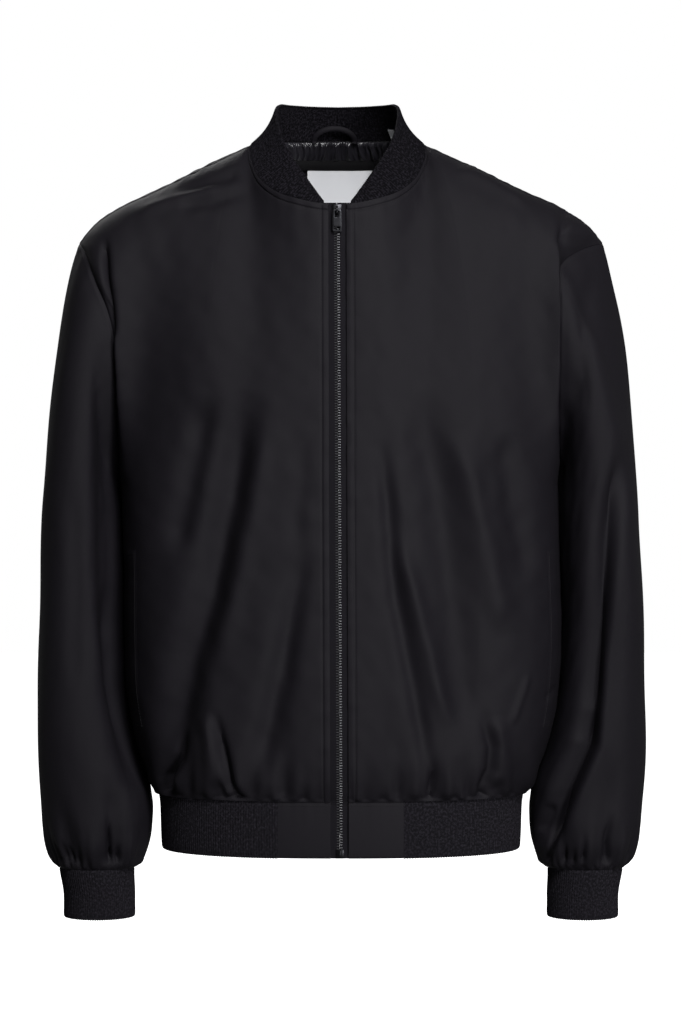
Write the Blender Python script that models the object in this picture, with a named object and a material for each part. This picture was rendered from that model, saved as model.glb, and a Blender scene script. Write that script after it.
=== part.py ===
"""A zipped bomber jacket in its worn, hollow form, with nobody in it.

Metres, +Z up, the front faces -Y, and +X is to the right of someone who looks at the front. The
origin is midway between the two high shoulder points, where the jacket rests on its wearer.
"""

import math
from collections import namedtuple

import bmesh
import bpy
import numpy as np

# ---- driving dimensions -------------------------------------------------------------------------
SHELL_WALL = 0.0018
BAND_WALL = 0.0024
TAB_WALL = 0.0020
SEAM_GAP = 0.0004
LAYER_GAP = 0.0003
COLLAR_GAP = 0.0011
PANEL_WIDTH = 0.26
PANEL_LENGTH = 0.60

UNDERARM_HEIGHT = -0.340
HEM_SEAM_HEIGHT = -0.6465
HEM_BOTTOM_HEIGHT = -0.7010
HEM_HALF_WIDTH = 0.1795
HEM_FRONT_DEPTH = 0.1080
HEM_BACK_DEPTH = 0.1100
HEM_TAB_EDGE = 0.0605
HEM_TAB_STEP = 0.024
BODY_SQUARENESS = 2.4
SLEEVE_SQUARENESS = 2.2

CUFF_TOP_HEIGHT = -0.7215
CUFF_BOTTOM_HEIGHT = -0.7710
CUFF_CENTRE = 0.2440
CUFF_TOP_HALF = 0.0372
CUFF_BOTTOM_HALF = 0.0345

NECK_SHIFT = -0.0035
ZIP_TOP_SIDE = -0.0040
ZIP_BOTTOM_SIDE = -0.0012
ZIP_OPENING_HALF = 0.0088
ZIP_TOP_HEIGHT = -0.0830
TAPE_TOP_HEIGHT = -0.0725
CHAIN_HALF_WIDTH = 0.0029
CHAIN_THICKNESS = 0.0024
TAPE_HALF_WIDTH = 0.0150
TAPE_THICKNESS = 0.0010
TAPE_SETBACK = 0.0023
BOX_HEIGHT = 0.0088
BOX_HALF_WIDTH = 0.0039
BOX_HALF_DEPTH = 0.0018
BOX_PLATE_THICKNESS = 0.0010

SLIDER_HALF_WIDTH = 0.0048
SLIDER_LENGTH = 0.0125
SLIDER_PLATE = 0.0011
SLIDER_MOUTH = 0.0032
PULL_PIVOT_HEIGHT = -0.0765
PULL_LENGTH = 0.0215
PULL_HALF_WIDTH = 0.0048
PULL_THICKNESS = 0.0013
PULL_EYE_LENGTH = 0.0064
PULL_EYE_HALF_WIDTH = 0.0021
PULL_SLOT_LENGTH = 0.0030
BRIDGE_RISE = 0.0036
BRIDGE_HALF_SPAN = 0.0042
BRIDGE_RADIUS = 0.0006
BRIDGE_WIDTH_SCALE = 1.8
SLIDER_POST = 0.0018
SLIDER_POST_LENGTH = 0.0030
PULL_SLOT_FOOT = 0.0022
PULL_CLEARANCE = 0.0005
PLATE_FACE = PULL_THICKNESS / 2 + PULL_CLEARANCE
PIVOT_DEPTH = -(PLATE_FACE + SLIDER_PLATE + SLIDER_MOUTH / 2)

RIB_HEIGHT = 0.0007
HEM_RIB_PITCH = 0.0062
CUFF_RIB_PITCH = 0.0062
COLLAR_RIB_PITCH = 0.0078
COLLAR_END_GAP = 0.004

SLEEVE_CLEARANCE = 0.0020
SLEEVE_RING_HEIGHT = -0.370
SLEEVE_FREE_HEIGHT = -0.560
SLEEVE_FREE_LENGTH = 0.050
SLEEVE_TUCK = 0.020
SLEEVE_BACK_SHIFT = 0.003
ARMHOLE_GAP_DOWN = 0.004

FRONT_COLUMNS = 20
FRONT_NECK_COLUMNS = 8
YOKE_ROWS = 9
BODY_ROWS = 10
BACK_COLUMNS = 13
BACK_NECK_COLUMNS = 5
SLEEVE_CAP_ROWS = 5
SLEEVE_ROWS = 12

# ---- tables of the form --------------------------------------------------------------------------
# The neck seam, the collar's top edge beside it and its bow outwards as a share of its width,
# from the zip round to the centre back.
Neck = namedtuple("Neck", "side depth height edge_side edge_depth edge_height bow")
NECKLINE = [
    Neck(0.0088, -0.0900, -0.0695, 0.0086, -0.0895, -0.0670, 0.02),
    Neck(0.0200, -0.0900, -0.0686, 0.0170, -0.0870, -0.0635, 0.02),
    Neck(0.0350, -0.0880, -0.0652, 0.0235, -0.0825, -0.0550, 0.03),
    Neck(0.0560, -0.0790, -0.0580, 0.0335, -0.0715, -0.0372, 0.03),
    Neck(0.0735, -0.0620, -0.0445, 0.0440, -0.0545, -0.0200, 0.00),
    Neck(0.0850, -0.0320, -0.0213, 0.0572, -0.0280, 0.0085, -0.07),
    Neck(0.0870, -0.0060, -0.0025, 0.0620, 0.0020, 0.0335, -0.09),
    Neck(0.0800, 0.0300, 0.0060, 0.0590, 0.0290, 0.0440, -0.07),
    Neck(0.0620, 0.0620, 0.0120, 0.0480, 0.0530, 0.0468, -0.02),
    Neck(0.0340, 0.0820, 0.0145, 0.0270, 0.0690, 0.0478, 0.04),
    Neck(0.0000, 0.0880, 0.0150, 0.0000, 0.0740, 0.0478, 0.05),
]
HIGH_SHOULDER = 6

# The shoulder seam, from the high shoulder point out to the top of the sleeve.
Place = namedtuple("Place", "side depth height")
SHOULDER = [
    Place(0.0870, -0.0060, -0.0025),
    Place(0.1300, -0.0100, -0.0225),
    Place(0.1800, -0.0110, -0.0470),
    Place(0.2250, -0.0090, -0.0680),
    Place(0.2470, -0.0050, -0.0830),
    Place(0.2610, 0.0000, -0.0990),
]

# How the cloth leaves the neck and the shoulder seam, by its share of the way from centre to side.
Leave = namedtuple("Leave", "share out forward down")
LEAVE_FRONT = [
    Leave(0.00, 0.000, 0.030, 0.27),
    Leave(0.25, 0.020, 0.090, 0.25),
    Leave(0.42, 0.080, 0.260, 0.13),
    Leave(0.60, 0.015, 0.270, 0.08),
    Leave(1.00, 0.000, 0.310, 0.05),
]
LEAVE_BACK = [
    Leave(0.00, 0.000, -0.120, 0.20),
    Leave(0.22, 0.040, -0.180, 0.12),
    Leave(0.36, 0.090, -0.250, 0.02),
    Leave(0.60, 0.015, -0.280, -0.05),
    Leave(1.00, 0.000, -0.330, -0.05),
]
SHOULDER_TILT = 0.22

# Level sections of the body, from the underarm down to the hem seam.
Section = namedtuple("Section", "height left right front back")
BODY = [
    Section(-0.3400, 0.2190, 0.2165, 0.1150, 0.1230),
    Section(-0.4200, 0.2165, 0.2185, 0.1180, 0.1210),
    Section(-0.5000, 0.2160, 0.2205, 0.1210, 0.1200),
    Section(-0.5500, 0.2135, 0.2170, 0.1220, 0.1200),
    Section(-0.5900, 0.2060, 0.2090, 0.1210, 0.1190),
    Section(-0.6200, 0.1970, 0.1985, 0.1180, 0.1170),
    Section(-0.6380, 0.1880, 0.1895, 0.1130, 0.1140),
    Section(-0.6465, 0.1810, 0.1815, 0.1085, 0.1105),
]

# Level sections of a sleeve, from just under the arm down to the cuff seam.
Ring = namedtuple("Ring", "height outer inner front back")
SLEEVE = [
    Ring(-0.3700, 0.2980, 0.2190, 0.0740, 0.0790),
    Ring(-0.4500, 0.3010, 0.2190, 0.0720, 0.0780),
    Ring(-0.5300, 0.3030, 0.2190, 0.0680, 0.0750),
    Ring(-0.6000, 0.3025, 0.2080, 0.0640, 0.0700),
    Ring(-0.6500, 0.3005, 0.1900, 0.0600, 0.0650),
    Ring(-0.6800, 0.2985, 0.1890, 0.0570, 0.0610),
    Ring(-0.7000, 0.2950, 0.1920, 0.0520, 0.0560),
    Ring(-0.7130, 0.2900, 0.1985, 0.0450, 0.0480),
    Ring(-0.7215, 0.2830, 0.2055, 0.0385, 0.0385),
]

# Folds as they run down the cloth: three places on each, then the half width and the depth. A
# negative depth is a ridge.
Fold = namedtuple("Fold", "top_side top_height mid_side mid_height low_side low_height width depth")
FRONT_FOLDS = [
    Fold(-0.087, -0.240, -0.1005, -0.354, -0.120, -0.470, 0.015, 0.0045),
    Fold(-0.124, -0.430, -0.1436, -0.523, -0.162, -0.636, 0.015, 0.0055),
    Fold(-0.126, -0.250, -0.1490, -0.340, -0.163, -0.430, 0.014, 0.0040),
    Fold(-0.026, -0.300, -0.0480, -0.470, -0.083, -0.630, 0.014, 0.0040),
    Fold(-0.105, -0.510, -0.1130, -0.575, -0.123, -0.640, 0.010, -0.0040),
    Fold(0.028, -0.280, 0.0507, -0.451, 0.087, -0.641, 0.015, 0.0050),
    Fold(0.058, -0.297, 0.0860, -0.455, 0.112, -0.638, 0.016, -0.0050),
    Fold(0.135, -0.480, 0.1420, -0.590, 0.134, -0.641, 0.012, 0.0045),
    Fold(0.190, -0.460, 0.1860, -0.520, 0.168, -0.590, 0.012, 0.0030),
]
BACK_FOLDS = [
    Fold(-0.150, -0.230, -0.1350, -0.400, -0.145, -0.630, 0.017, 0.0050),
    Fold(-0.070, -0.330, -0.0780, -0.480, -0.066, -0.638, 0.016, 0.0040),
    Fold(-0.020, -0.120, -0.0240, -0.240, -0.036, -0.370, 0.020, -0.0030),
    Fold(0.024, -0.360, 0.0180, -0.500, 0.030, -0.640, 0.015, 0.0045),
    Fold(0.105, -0.210, 0.0930, -0.390, 0.101, -0.620, 0.018, 0.0050),
    Fold(0.160, -0.280, 0.1500, -0.460, 0.156, -0.634, 0.014, -0.0040),
]
RIGHT_SLEEVE_FRONT_FOLDS = [
    Fold(0.276, -0.300, 0.2570, -0.458, 0.241, -0.605, 0.014, 0.0065),
    Fold(0.243, -0.570, 0.2290, -0.640, 0.212, -0.705, 0.012, 0.0060),
    Fold(0.266, -0.600, 0.2620, -0.650, 0.255, -0.716, 0.010, 0.0035),
]
RIGHT_SLEEVE_BACK_FOLDS = [
    Fold(0.250, -0.220, 0.2620, -0.400, 0.252, -0.600, 0.015, 0.0055),
    Fold(0.240, -0.600, 0.2440, -0.650, 0.236, -0.714, 0.011, 0.0045),
]
LEFT_SLEEVE_FRONT_FOLDS = [
    Fold(-0.262, -0.310, -0.2570, -0.430, -0.262, -0.560, 0.016, 0.0035),
    Fold(-0.226, -0.620, -0.2230, -0.670, -0.228, -0.716, 0.010, 0.0045),
    Fold(-0.275, -0.640, -0.2720, -0.675, -0.268, -0.716, 0.009, 0.0035),
]
LEFT_SLEEVE_BACK_FOLDS = [
    Fold(-0.246, -0.240, -0.2600, -0.420, -0.250, -0.610, 0.015, 0.0055),
    Fold(-0.252, -0.610, -0.2460, -0.660, -0.250, -0.714, 0.011, 0.0045),
]
HEM_GATHER_DEPTH = 0.0016
HEM_GATHER_LENGTH = 0.0290
HEM_GATHER_REACH = 0.0500
HEM_GATHER_RISE = 0.012
CUFF_GATHERS = 10
CUFF_GATHER_DEPTH = 0.0022
CUFF_GATHER_REACH = 0.0450
CUFF_GATHER_RISE = 0.014
FOLD_EDGE = 0.0260

POCKET_TOP_HEIGHT = -0.4050
POCKET_BOTTOM_HEIGHT = -0.5820
POCKET_FROM_SHARE = 0.770
POCKET_TO_SHARE = 0.862
POCKET_WALL = 0.0012
POCKET_LIFT = 0.0007

SATIN_TOP_HEIGHT = 0.0105
SATIN_LOW_HEIGHT = -0.0050
SATIN_GATHERS = 16
SATIN_FULLNESS = 0.0014
SATIN_SWELL = (0.3, 1.0, 1.0, 0.3)
LINING_WALL = 0.0011
LINING_GAP = 0.0005
FACING_LOW_HEIGHT = -0.0140
LABEL_LOW_HEIGHT = -0.0620
LABEL_LEFT_SIDE = -0.0350
LABEL_RIGHT_SIDE = 0.0330
NECK_STRIP_SIDE = 0.0600
LOOP_HALF_SPAN = 0.0190
LOOP_RISE = 0.0160
LOOP_RADIUS = 0.0014
LOOP_FOOT_HEIGHT = 0.0103
LOOP_FOOT_SWELL = 0.35
LOOP_LEAN = 0.0075
LOOP_SIDE = -0.0050
COLLAR_TAB_DEPTH = 0.0620
COLLAR_TAB_HALF = 0.0038
COLLAR_TAB_GAP = 0.0003
COLLAR_TAB_HIGH = 0.34
COLLAR_TAB_LOW = 0.07


# ---- small tools -----------------------------------------------------------------------------------
def smooth_step(share):
    share = np.clip(share, 0.0, 1.0)
    return share * share * (3.0 - 2.0 * share)


def smooth_table(at, knots, values):
    """A smooth curve through a table's values, read at any place along its knots."""
    knots = np.asarray(knots, float)
    values = np.asarray(values, float)
    slopes = np.gradient(values, knots)
    at = np.clip(np.asarray(at, float), knots[0], knots[-1])
    index = np.clip(np.searchsorted(knots, at, side="right") - 1, 0, len(knots) - 2)
    span = knots[index + 1] - knots[index]
    t = (at - knots[index]) / span
    return (
        (2 * t**3 - 3 * t**2 + 1) * values[index]
        + (t**3 - 2 * t**2 + t) * span * slopes[index]
        + (3 * t**2 - 2 * t**3) * values[index + 1]
        + (t**3 - t**2) * span * slopes[index + 1]
    )


def column(table, name):
    return [getattr(row, name) for row in table]


def by_height(table, name, height):
    """A table's column read at a height: its rows run downwards."""
    return smooth_table(-np.asarray(height), [-row.height for row in table], column(table, name))


def shares_along(points):
    lengths = np.linalg.norm(np.diff(np.asarray(points), axis=0), axis=1)
    along = np.concatenate([[0.0], np.cumsum(lengths)])
    return along / along[-1], along[-1]


def hermite(t, start, start_way, end, end_way):
    t = t[..., None]
    return (
        (2 * t**3 - 3 * t**2 + 1) * start
        + (t**3 - 2 * t**2 + t) * start_way
        + (3 * t**2 - 2 * t**3) * end
        + (t**3 - t**2) * end_way
    )


def unit(vectors):
    return vectors / np.maximum(np.linalg.norm(vectors, axis=-1, keepdims=True), 1e-12)


# ---- the body's surface ----------------------------------------------------------------------------
NECK_FRONT_PLACES = [(n.side, n.depth, n.height) for n in NECKLINE[: HIGH_SHOULDER + 1]]
NECK_BACK_PLACES = [(n.side, n.depth, n.height) for n in NECKLINE[HIGH_SHOULDER:]][::-1]
SHOULDER_PLACES = [tuple(place) for place in SHOULDER]


def zip_side(height):
    """The zip's centre line leans a little: its sideways place at a height."""
    length = HEM_BOTTOM_HEIGHT - TAPE_TOP_HEIGHT
    share = np.clip((np.asarray(height) - TAPE_TOP_HEIGHT) / length, 0.0, 1.0)
    return ZIP_TOP_SIDE + (ZIP_BOTTOM_SIDE - ZIP_TOP_SIDE) * share


def neck_share(front):
    """The share of a panel's top edge that is neck seam. The rest is shoulder seam."""
    neck = shares_along(NECK_FRONT_PLACES if front else NECK_BACK_PLACES)[1]
    return neck / (neck + shares_along(SHOULDER_PLACES)[1])


def top_edge(share, front):
    """Places on the neck seam and shoulder seam, at +X, by share from the centre to the side."""
    corner = neck_share(front)
    neck = NECK_FRONT_PLACES if front else NECK_BACK_PLACES
    on_neck = np.clip(share / corner, 0.0, 1.0)
    on_shoulder = np.clip((share - corner) / (1.0 - corner), 0.0, 1.0)
    axes = []
    for axis in range(3):
        near = smooth_table(on_neck, shares_along(neck)[0], [p[axis] for p in neck])
        far = smooth_table(
            on_shoulder, shares_along(SHOULDER_PLACES)[0], [p[axis] for p in SHOULDER_PLACES]
        )
        axes.append(np.where(share <= corner, near, far))
    return np.stack(axes, axis=-1), on_shoulder


def leaving(share, front):
    """The way the cloth leaves its top edge. Along the shoulder both panels share one plane."""
    table = LEAVE_FRONT if front else LEAVE_BACK
    corner = neck_share(front)
    out = smooth_table(share, column(table, "share"), column(table, "out"))
    forward = smooth_table(share, column(table, "share"), column(table, "forward"))
    down = smooth_table(share, column(table, "share"), column(table, "down"))
    way = np.stack([out, -forward, -down], axis=-1)
    step = 1e-3
    low = np.clip(share - step, corner + 1e-6, 1.0)
    high = np.clip(share + step, corner + 2 * step, 1.0)
    low = np.minimum(low, high - step)
    along = unit(top_edge(high, front)[0] - top_edge(low, front)[0])
    across = unit(np.array([0.0, -1.0, -SHOULDER_TILT]) * np.ones_like(way))
    normal = unit(np.cross(along, across))
    flat = way - (way * normal).sum(-1, keepdims=True) * normal
    return np.where((share >= corner - 1e-9)[..., None], flat, way)


def body_half_width(height, hand):
    return by_height(BODY, "left" if hand < 0 else "right", height)


def level_place(share, height, hand, front):
    """A place on the body's level section, by share of the way from the centre to the side seam."""
    width = body_half_width(height, hand)
    depth = by_height(BODY, "front" if front else "back", height)
    start_side = zip_side(height) * hand + ZIP_OPENING_HALF if front else 0.0 * height
    start = np.arcsin((start_side / width) ** (BODY_SQUARENESS / 2))
    warped = share * (0.75 + 0.25 * share)
    angle = start + (math.pi / 2 - start) * warped
    side = width * np.sin(angle) ** (2 / BODY_SQUARENESS)
    reach = depth * np.maximum(np.cos(angle), 0.0) ** (2 / BODY_SQUARENESS)
    return np.stack([side, -reach if front else reach, height + 0.0 * side], axis=-1)


YOKE_SHARE = YOKE_ROWS / (YOKE_ROWS + BODY_ROWS)


def body_form(share, down, hand, front):
    """The body's smooth form with no folds. share runs centre to side, down runs top to hem seam."""
    share = np.asarray(share, float)
    down = np.asarray(down, float)
    on_yoke = np.clip(down / YOKE_SHARE, 0.0, 1.0)
    on_body = np.clip((down - YOKE_SHARE) / (1.0 - YOKE_SHARE), 0.0, 1.0)
    start, on_shoulder = top_edge(share, front)
    start = start + np.array([1.0, 0, 0]) * (NECK_SHIFT * hand * (1 - on_shoulder))[..., None]
    level = np.full(share.shape, UNDERARM_HEIGHT)
    end = level_place(share, level, hand, front)
    turn = smooth_step((share - 0.7) / 0.3)
    facing = 1.0 if front else -1.0
    end_way = np.stack(
        [-0.01 * turn, facing * (0.21 * turn - 0.01), -0.30 + 0.06 * turn], axis=-1
    )
    yoke = hermite(on_yoke, start, leaving(share, front), end, end_way)
    height = UNDERARM_HEIGHT + (HEM_SEAM_HEIGHT + SEAM_GAP - UNDERARM_HEIGHT) * on_body
    lower = level_place(share, height, hand, front)
    place = np.where((down <= YOKE_SHARE)[..., None], yoke, lower)
    return place * np.array([hand, 1.0, 1.0])


def form_normals(form, share, down, outward):
    """Unit normals of a form by small steps each way, turned to face outwards."""
    step = 2e-4
    across = form(np.clip(share + step, 0, 1), down) - form(np.clip(share - step, 0, 1), down)
    along = form(share, np.clip(down + step, 0, 1)) - form(share, np.clip(down - step, 0, 1))
    normal = unit(np.cross(across, along))
    facing = np.sign((normal * outward).sum(-1, keepdims=True))
    return normal * np.where(facing == 0, 1.0, facing)


def fold_depths(places, folds):
    """How deep the listed folds press the cloth in at each place."""
    side = places[..., 0]
    height = places[..., 2]
    depth = np.zeros(side.shape)
    for fold in folds:
        knots = [-fold.top_height, -fold.mid_height, -fold.low_height]
        line = smooth_table(-height, knots, [fold.top_side, fold.mid_side, fold.low_side])
        length = fold.top_height - fold.low_height
        along = (fold.top_height - height) / length
        fade = smooth_step(along / 0.30) * smooth_step((1.0 - along) / 0.12)
        depth += fold.depth * fade * np.exp(-(((side - line) / fold.width) ** 2))
    return depth


def body_cloth(share, down, hand, front):
    """Places on the finished cloth of a body panel, and its outward normals."""
    def form(at, under):
        return body_form(at, under, hand, front)

    places = form(share, down)
    lift = np.stack([places[..., 0], places[..., 1], places[..., 2] * 0 + 0.06], axis=-1)
    normals = form_normals(form, share, down, lift)
    depth = fold_depths(places, FRONT_FOLDS if front else BACK_FOLDS)
    reach = 1.0 - np.abs(places[..., 2] - HEM_SEAM_HEIGHT - HEM_GATHER_RISE) / HEM_GATHER_REACH
    waves = np.cos(places[..., 0] * 2 * math.pi / HEM_GATHER_LENGTH + 0.8 * np.sin(37 * places[..., 0]))
    depth = depth + HEM_GATHER_DEPTH * waves * smooth_step(reach)
    above_hem = (places[..., 2] - HEM_SEAM_HEIGHT) / 0.010
    from_side = (1.0 - share) * PANEL_WIDTH / FOLD_EDGE
    from_zip = share * PANEL_WIDTH - ZIP_OPENING_HALF
    from_centre = from_zip / FOLD_EDGE if front else np.ones(share.shape)
    depth = depth * smooth_step(above_hem) * smooth_step(from_side) * smooth_step(from_centre)
    depth = depth * smooth_step(down / 0.12)
    return places - normals * depth[..., None], normals


# ---- the sleeve's surface --------------------------------------------------------------------------
SLEEVE_CAP_SHARE = SLEEVE_CAP_ROWS / (SLEEVE_CAP_ROWS + SLEEVE_ROWS)


def sleeve_level(around, height, hand):
    """A place on a sleeve's level section. around runs 0 at the outside, over the front, to 1."""
    outer = by_height(SLEEVE, "outer", height)
    beside = body_half_width(np.maximum(height, HEM_SEAM_HEIGHT), hand) + SLEEVE_CLEARANCE
    free = np.maximum(by_height(SLEEVE, "inner", height), beside - SLEEVE_TUCK)
    blend = smooth_step((SLEEVE_FREE_HEIGHT - height) / SLEEVE_FREE_LENGTH)
    inner = beside * (1 - blend) + free * blend
    angle = around * 2 * math.pi
    cosine = np.cos(angle)
    sine = np.sin(angle)
    power = 2 / SLEEVE_SQUARENESS
    depth = np.where(sine > 0, by_height(SLEEVE, "front", height), by_height(SLEEVE, "back", height))
    side = (outer + inner) / 2 + (outer - inner) / 2 * np.sign(cosine) * np.abs(cosine) ** power
    reach = -depth * np.sign(sine) * np.abs(sine) ** power + SLEEVE_BACK_SHIFT
    return np.stack([side, reach, height + 0.0 * side], axis=-1)


def armhole(around, hand):
    """The body's armhole edge, at +X, by share round it from the shoulder over the front."""
    on_front = np.clip(2 * around, 0.0, 1.0)
    on_back = np.clip(2 * (1 - around), 0.0, 1.0)
    ones = np.ones(around.shape)
    front = body_form(ones, on_front * YOKE_SHARE, hand, True)
    back = body_form(ones, on_back * YOKE_SHARE, hand, False)
    place = np.where((around <= 0.5)[..., None], front, back)
    return place * np.array([hand, 1.0, 1.0])


def sleeve_form(around, down, hand):
    """A sleeve's smooth form with no folds. down runs 0 at the armhole to 1 at the cuff seam."""
    around = np.asarray(around, float)
    down = np.asarray(down, float)
    on_cap = np.clip(down / SLEEVE_CAP_SHARE, 0.0, 1.0)
    on_arm = np.clip((down - SLEEVE_CAP_SHARE) / (1.0 - SLEEVE_CAP_SHARE), 0.0, 1.0)
    around = np.mod(around, 1.0)
    start = armhole(around, hand)
    end = sleeve_level(around, np.full(around.shape, SLEEVE_RING_HEIGHT), hand)
    fall = start[..., 2] - SLEEVE_RING_HEIGHT
    angle = around * 2 * math.pi
    outside = (1 + np.cos(angle)) / 2
    flank = np.abs(np.sin(angle))
    start_way = np.stack(
        [
            0.04 * outside + 0.07 * flank + 0.002,
            -0.035 * np.sin(angle),
            -fall * (0.34 - 0.14 * flank),
        ],
        axis=-1,
    )
    end_way = np.stack([0.012 * outside, 0 * fall, -fall], axis=-1)
    cap = hermite(on_cap, start, start_way, end, end_way)
    height = SLEEVE_RING_HEIGHT + (CUFF_TOP_HEIGHT - SLEEVE_RING_HEIGHT) * on_arm ** 0.93
    lower = sleeve_level(around, height, hand)
    place = np.where((down <= SLEEVE_CAP_SHARE)[..., None], cap, lower)
    return place * np.array([hand, 1.0, 1.0])


def sleeve_cloth(around, down, hand):
    """Places on the finished cloth of a sleeve, and its outward normals."""
    places = sleeve_form(around, down, hand)
    middle = places.mean(axis=1, keepdims=True) * np.array([1.0, 1.0, 0.0])
    middle[..., 1] = SLEEVE_BACK_SHIFT
    outward = (places - middle) * np.array([1.0, 1.0, 0.0])
    outward[..., 2] += 0.02 * (1 - np.clip(down / SLEEVE_CAP_SHARE, 0, 1))
    step = 2e-4
    across = sleeve_form(around + step, down, hand) - sleeve_form(around - step, down, hand)
    along = sleeve_form(around, np.clip(down + step, 0, 1), hand) - sleeve_form(
        around, np.clip(down - step, 0, 1), hand
    )
    normals = unit(np.cross(across, along))
    normals *= np.sign((normals * outward).sum(-1, keepdims=True))
    front_table = LEFT_SLEEVE_FRONT_FOLDS if hand < 0 else RIGHT_SLEEVE_FRONT_FOLDS
    back_table = LEFT_SLEEVE_BACK_FOLDS if hand < 0 else RIGHT_SLEEVE_BACK_FOLDS
    sine = np.sin(around * 2 * math.pi)
    depth = fold_depths(places, front_table) * smooth_step(sine / 0.5)
    depth = depth + fold_depths(places, back_table) * smooth_step(-sine / 0.5)
    reach = 1.0 - np.abs(places[..., 2] - CUFF_TOP_HEIGHT - CUFF_GATHER_RISE) / CUFF_GATHER_REACH
    waves = np.cos(CUFF_GATHERS * around * 2 * math.pi + 1.2 * np.sin(4 * math.pi * around))
    clear = 1.0 - 0.8 * smooth_step((0.5 - np.abs(np.mod(around, 1.0) - 0.5)) / 0.5 * 2 - 1)
    depth = depth + CUFF_GATHER_DEPTH * waves * smooth_step(reach) * clear
    depth = depth * smooth_step((places[..., 2] - CUFF_TOP_HEIGHT) / 0.012)
    depth = depth * smooth_step(down / 0.10)
    return places - normals * depth[..., None], normals


# ---- making solids ---------------------------------------------------------------------------------
def make_material(name, colour, roughness, metallic=0.0):
    material = bpy.data.materials.new(name)
    material.use_nodes = True
    shader = material.node_tree.nodes["Principled BSDF"]
    shader.inputs["Base Color"].default_value = (*colour, 1.0)
    shader.inputs["Roughness"].default_value = roughness
    shader.inputs["Metallic"].default_value = metallic
    material.diffuse_color = (*colour, 1.0)
    return material


def add_object(name, mesh, material, smooth=True):
    mesh.materials.append(material)
    if smooth:
        mesh.shade_smooth()
    made = bpy.data.objects.new(name, mesh)
    bpy.data.collections["bomber_jacket"].objects.link(made)
    return made


def wall(name, outer, inner, material, around=False):
    """A closed wall between an outer and an inner grid of places, rows by columns."""
    rows, columns = outer.shape[:2]
    mesh_points = np.concatenate([outer.reshape(-1, 3), inner.reshape(-1, 3)])
    other = rows * columns
    last = columns if around else columns - 1
    faces = []
    for row in range(rows - 1):
        for start in range(last):
            end = (start + 1) % columns
            upper, lower = row * columns, (row + 1) * columns
            faces.append((upper + start, upper + end, lower + end, lower + start))
            faces.append(
                (other + upper + start, other + lower + start, other + lower + end, other + upper + end)
            )
    for edge in (0, (rows - 1) * columns):
        for start in range(last):
            end = (start + 1) % columns
            faces.append((edge + start, other + edge + start, other + edge + end, edge + end))
    if not around:
        for edge in (0, columns - 1):
            for row in range(rows - 1):
                upper, lower = edge + row * columns, edge + (row + 1) * columns
                faces.append((upper, lower, other + lower, other + upper))
    mesh = bpy.data.meshes.new(name)
    mesh.from_pydata([tuple(p) for p in mesh_points], [], faces)
    tidy = bmesh.new()
    tidy.from_mesh(mesh)
    bmesh.ops.recalc_face_normals(tidy, faces=tidy.faces)
    bmesh.ops.triangulate(tidy, faces=tidy.faces)
    tidy.to_mesh(mesh)
    tidy.free()
    return add_object(name, mesh, material)


def grid(across, along):
    return np.meshgrid(across, along, indexing="xy")


def panel_shares(front, columns, neck_columns):
    corner = neck_share(front)
    near = np.linspace(0.0, corner, neck_columns + 1)[:-1]
    return np.concatenate([near, np.linspace(corner, 1.0, columns - neck_columns + 1)])


def drawn_in(values, gap_start, gap_end):
    """The same run of shares, with its ends drawn in to leave the seam gaps."""
    values = values.copy()
    values[0] += gap_start
    values[-1] -= gap_end
    return values


GAP_SHARE = SEAM_GAP / 2 / PANEL_WIDTH
GAP_DOWN = SEAM_GAP / PANEL_LENGTH


def make_front(hand, material):
    shares = drawn_in(panel_shares(True, FRONT_COLUMNS, FRONT_NECK_COLUMNS), 0.0, GAP_SHARE)
    downs = drawn_in(np.linspace(0, 1, YOKE_ROWS + BODY_ROWS + 1), GAP_DOWN, 0.0)
    share, down = grid(shares, downs)
    places, normals = body_cloth(share, down, hand, True)
    name = "front_left" if hand < 0 else "front_right"
    return wall(name, places, places - normals * SHELL_WALL, material)


def back_grid():
    """The back's own places and normals, rows by columns, from side to side."""
    shares = drawn_in(panel_shares(False, BACK_COLUMNS, BACK_NECK_COLUMNS), 0.0, GAP_SHARE)
    downs = drawn_in(np.linspace(0, 1, YOKE_ROWS + BODY_ROWS + 1), GAP_DOWN, 0.0)
    share, down = grid(shares, downs)
    left, left_normals = body_cloth(share, down, -1, False)
    right, right_normals = body_cloth(share, down, 1, False)
    places = np.concatenate([left[:, :0:-1], right], axis=1)
    return places, np.concatenate([left_normals[:, :0:-1], right_normals], axis=1)


def make_back(material):
    places, normals = back_grid()
    return wall("back", places, places - normals * SHELL_WALL, material)


def make_sleeve(hand, material):
    arounds = np.arange(2 * YOKE_ROWS) / (2 * YOKE_ROWS)
    downs = drawn_in(np.linspace(0, 1, SLEEVE_CAP_ROWS + SLEEVE_ROWS + 1), ARMHOLE_GAP_DOWN, 0.0)
    around, down = grid(arounds, downs)
    places, normals = sleeve_cloth(around, down, hand)
    name = "sleeve_left" if hand < 0 else "sleeve_right"
    return wall(name, places, places - normals * SHELL_WALL, material, around=True)


def collar_joins():
    """The neck edge of the front and of half the back, through the panels' own corners."""
    front_shares = panel_shares(True, FRONT_COLUMNS, FRONT_NECK_COLUMNS)
    back_shares = panel_shares(False, BACK_COLUMNS, BACK_NECK_COLUMNS)
    front = top_edge(front_shares[: FRONT_NECK_COLUMNS + 1], True)[0]
    back = top_edge(back_shares[: BACK_NECK_COLUMNS + 1], False)[0]
    return np.concatenate([front, back[-2::-1]])


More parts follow.
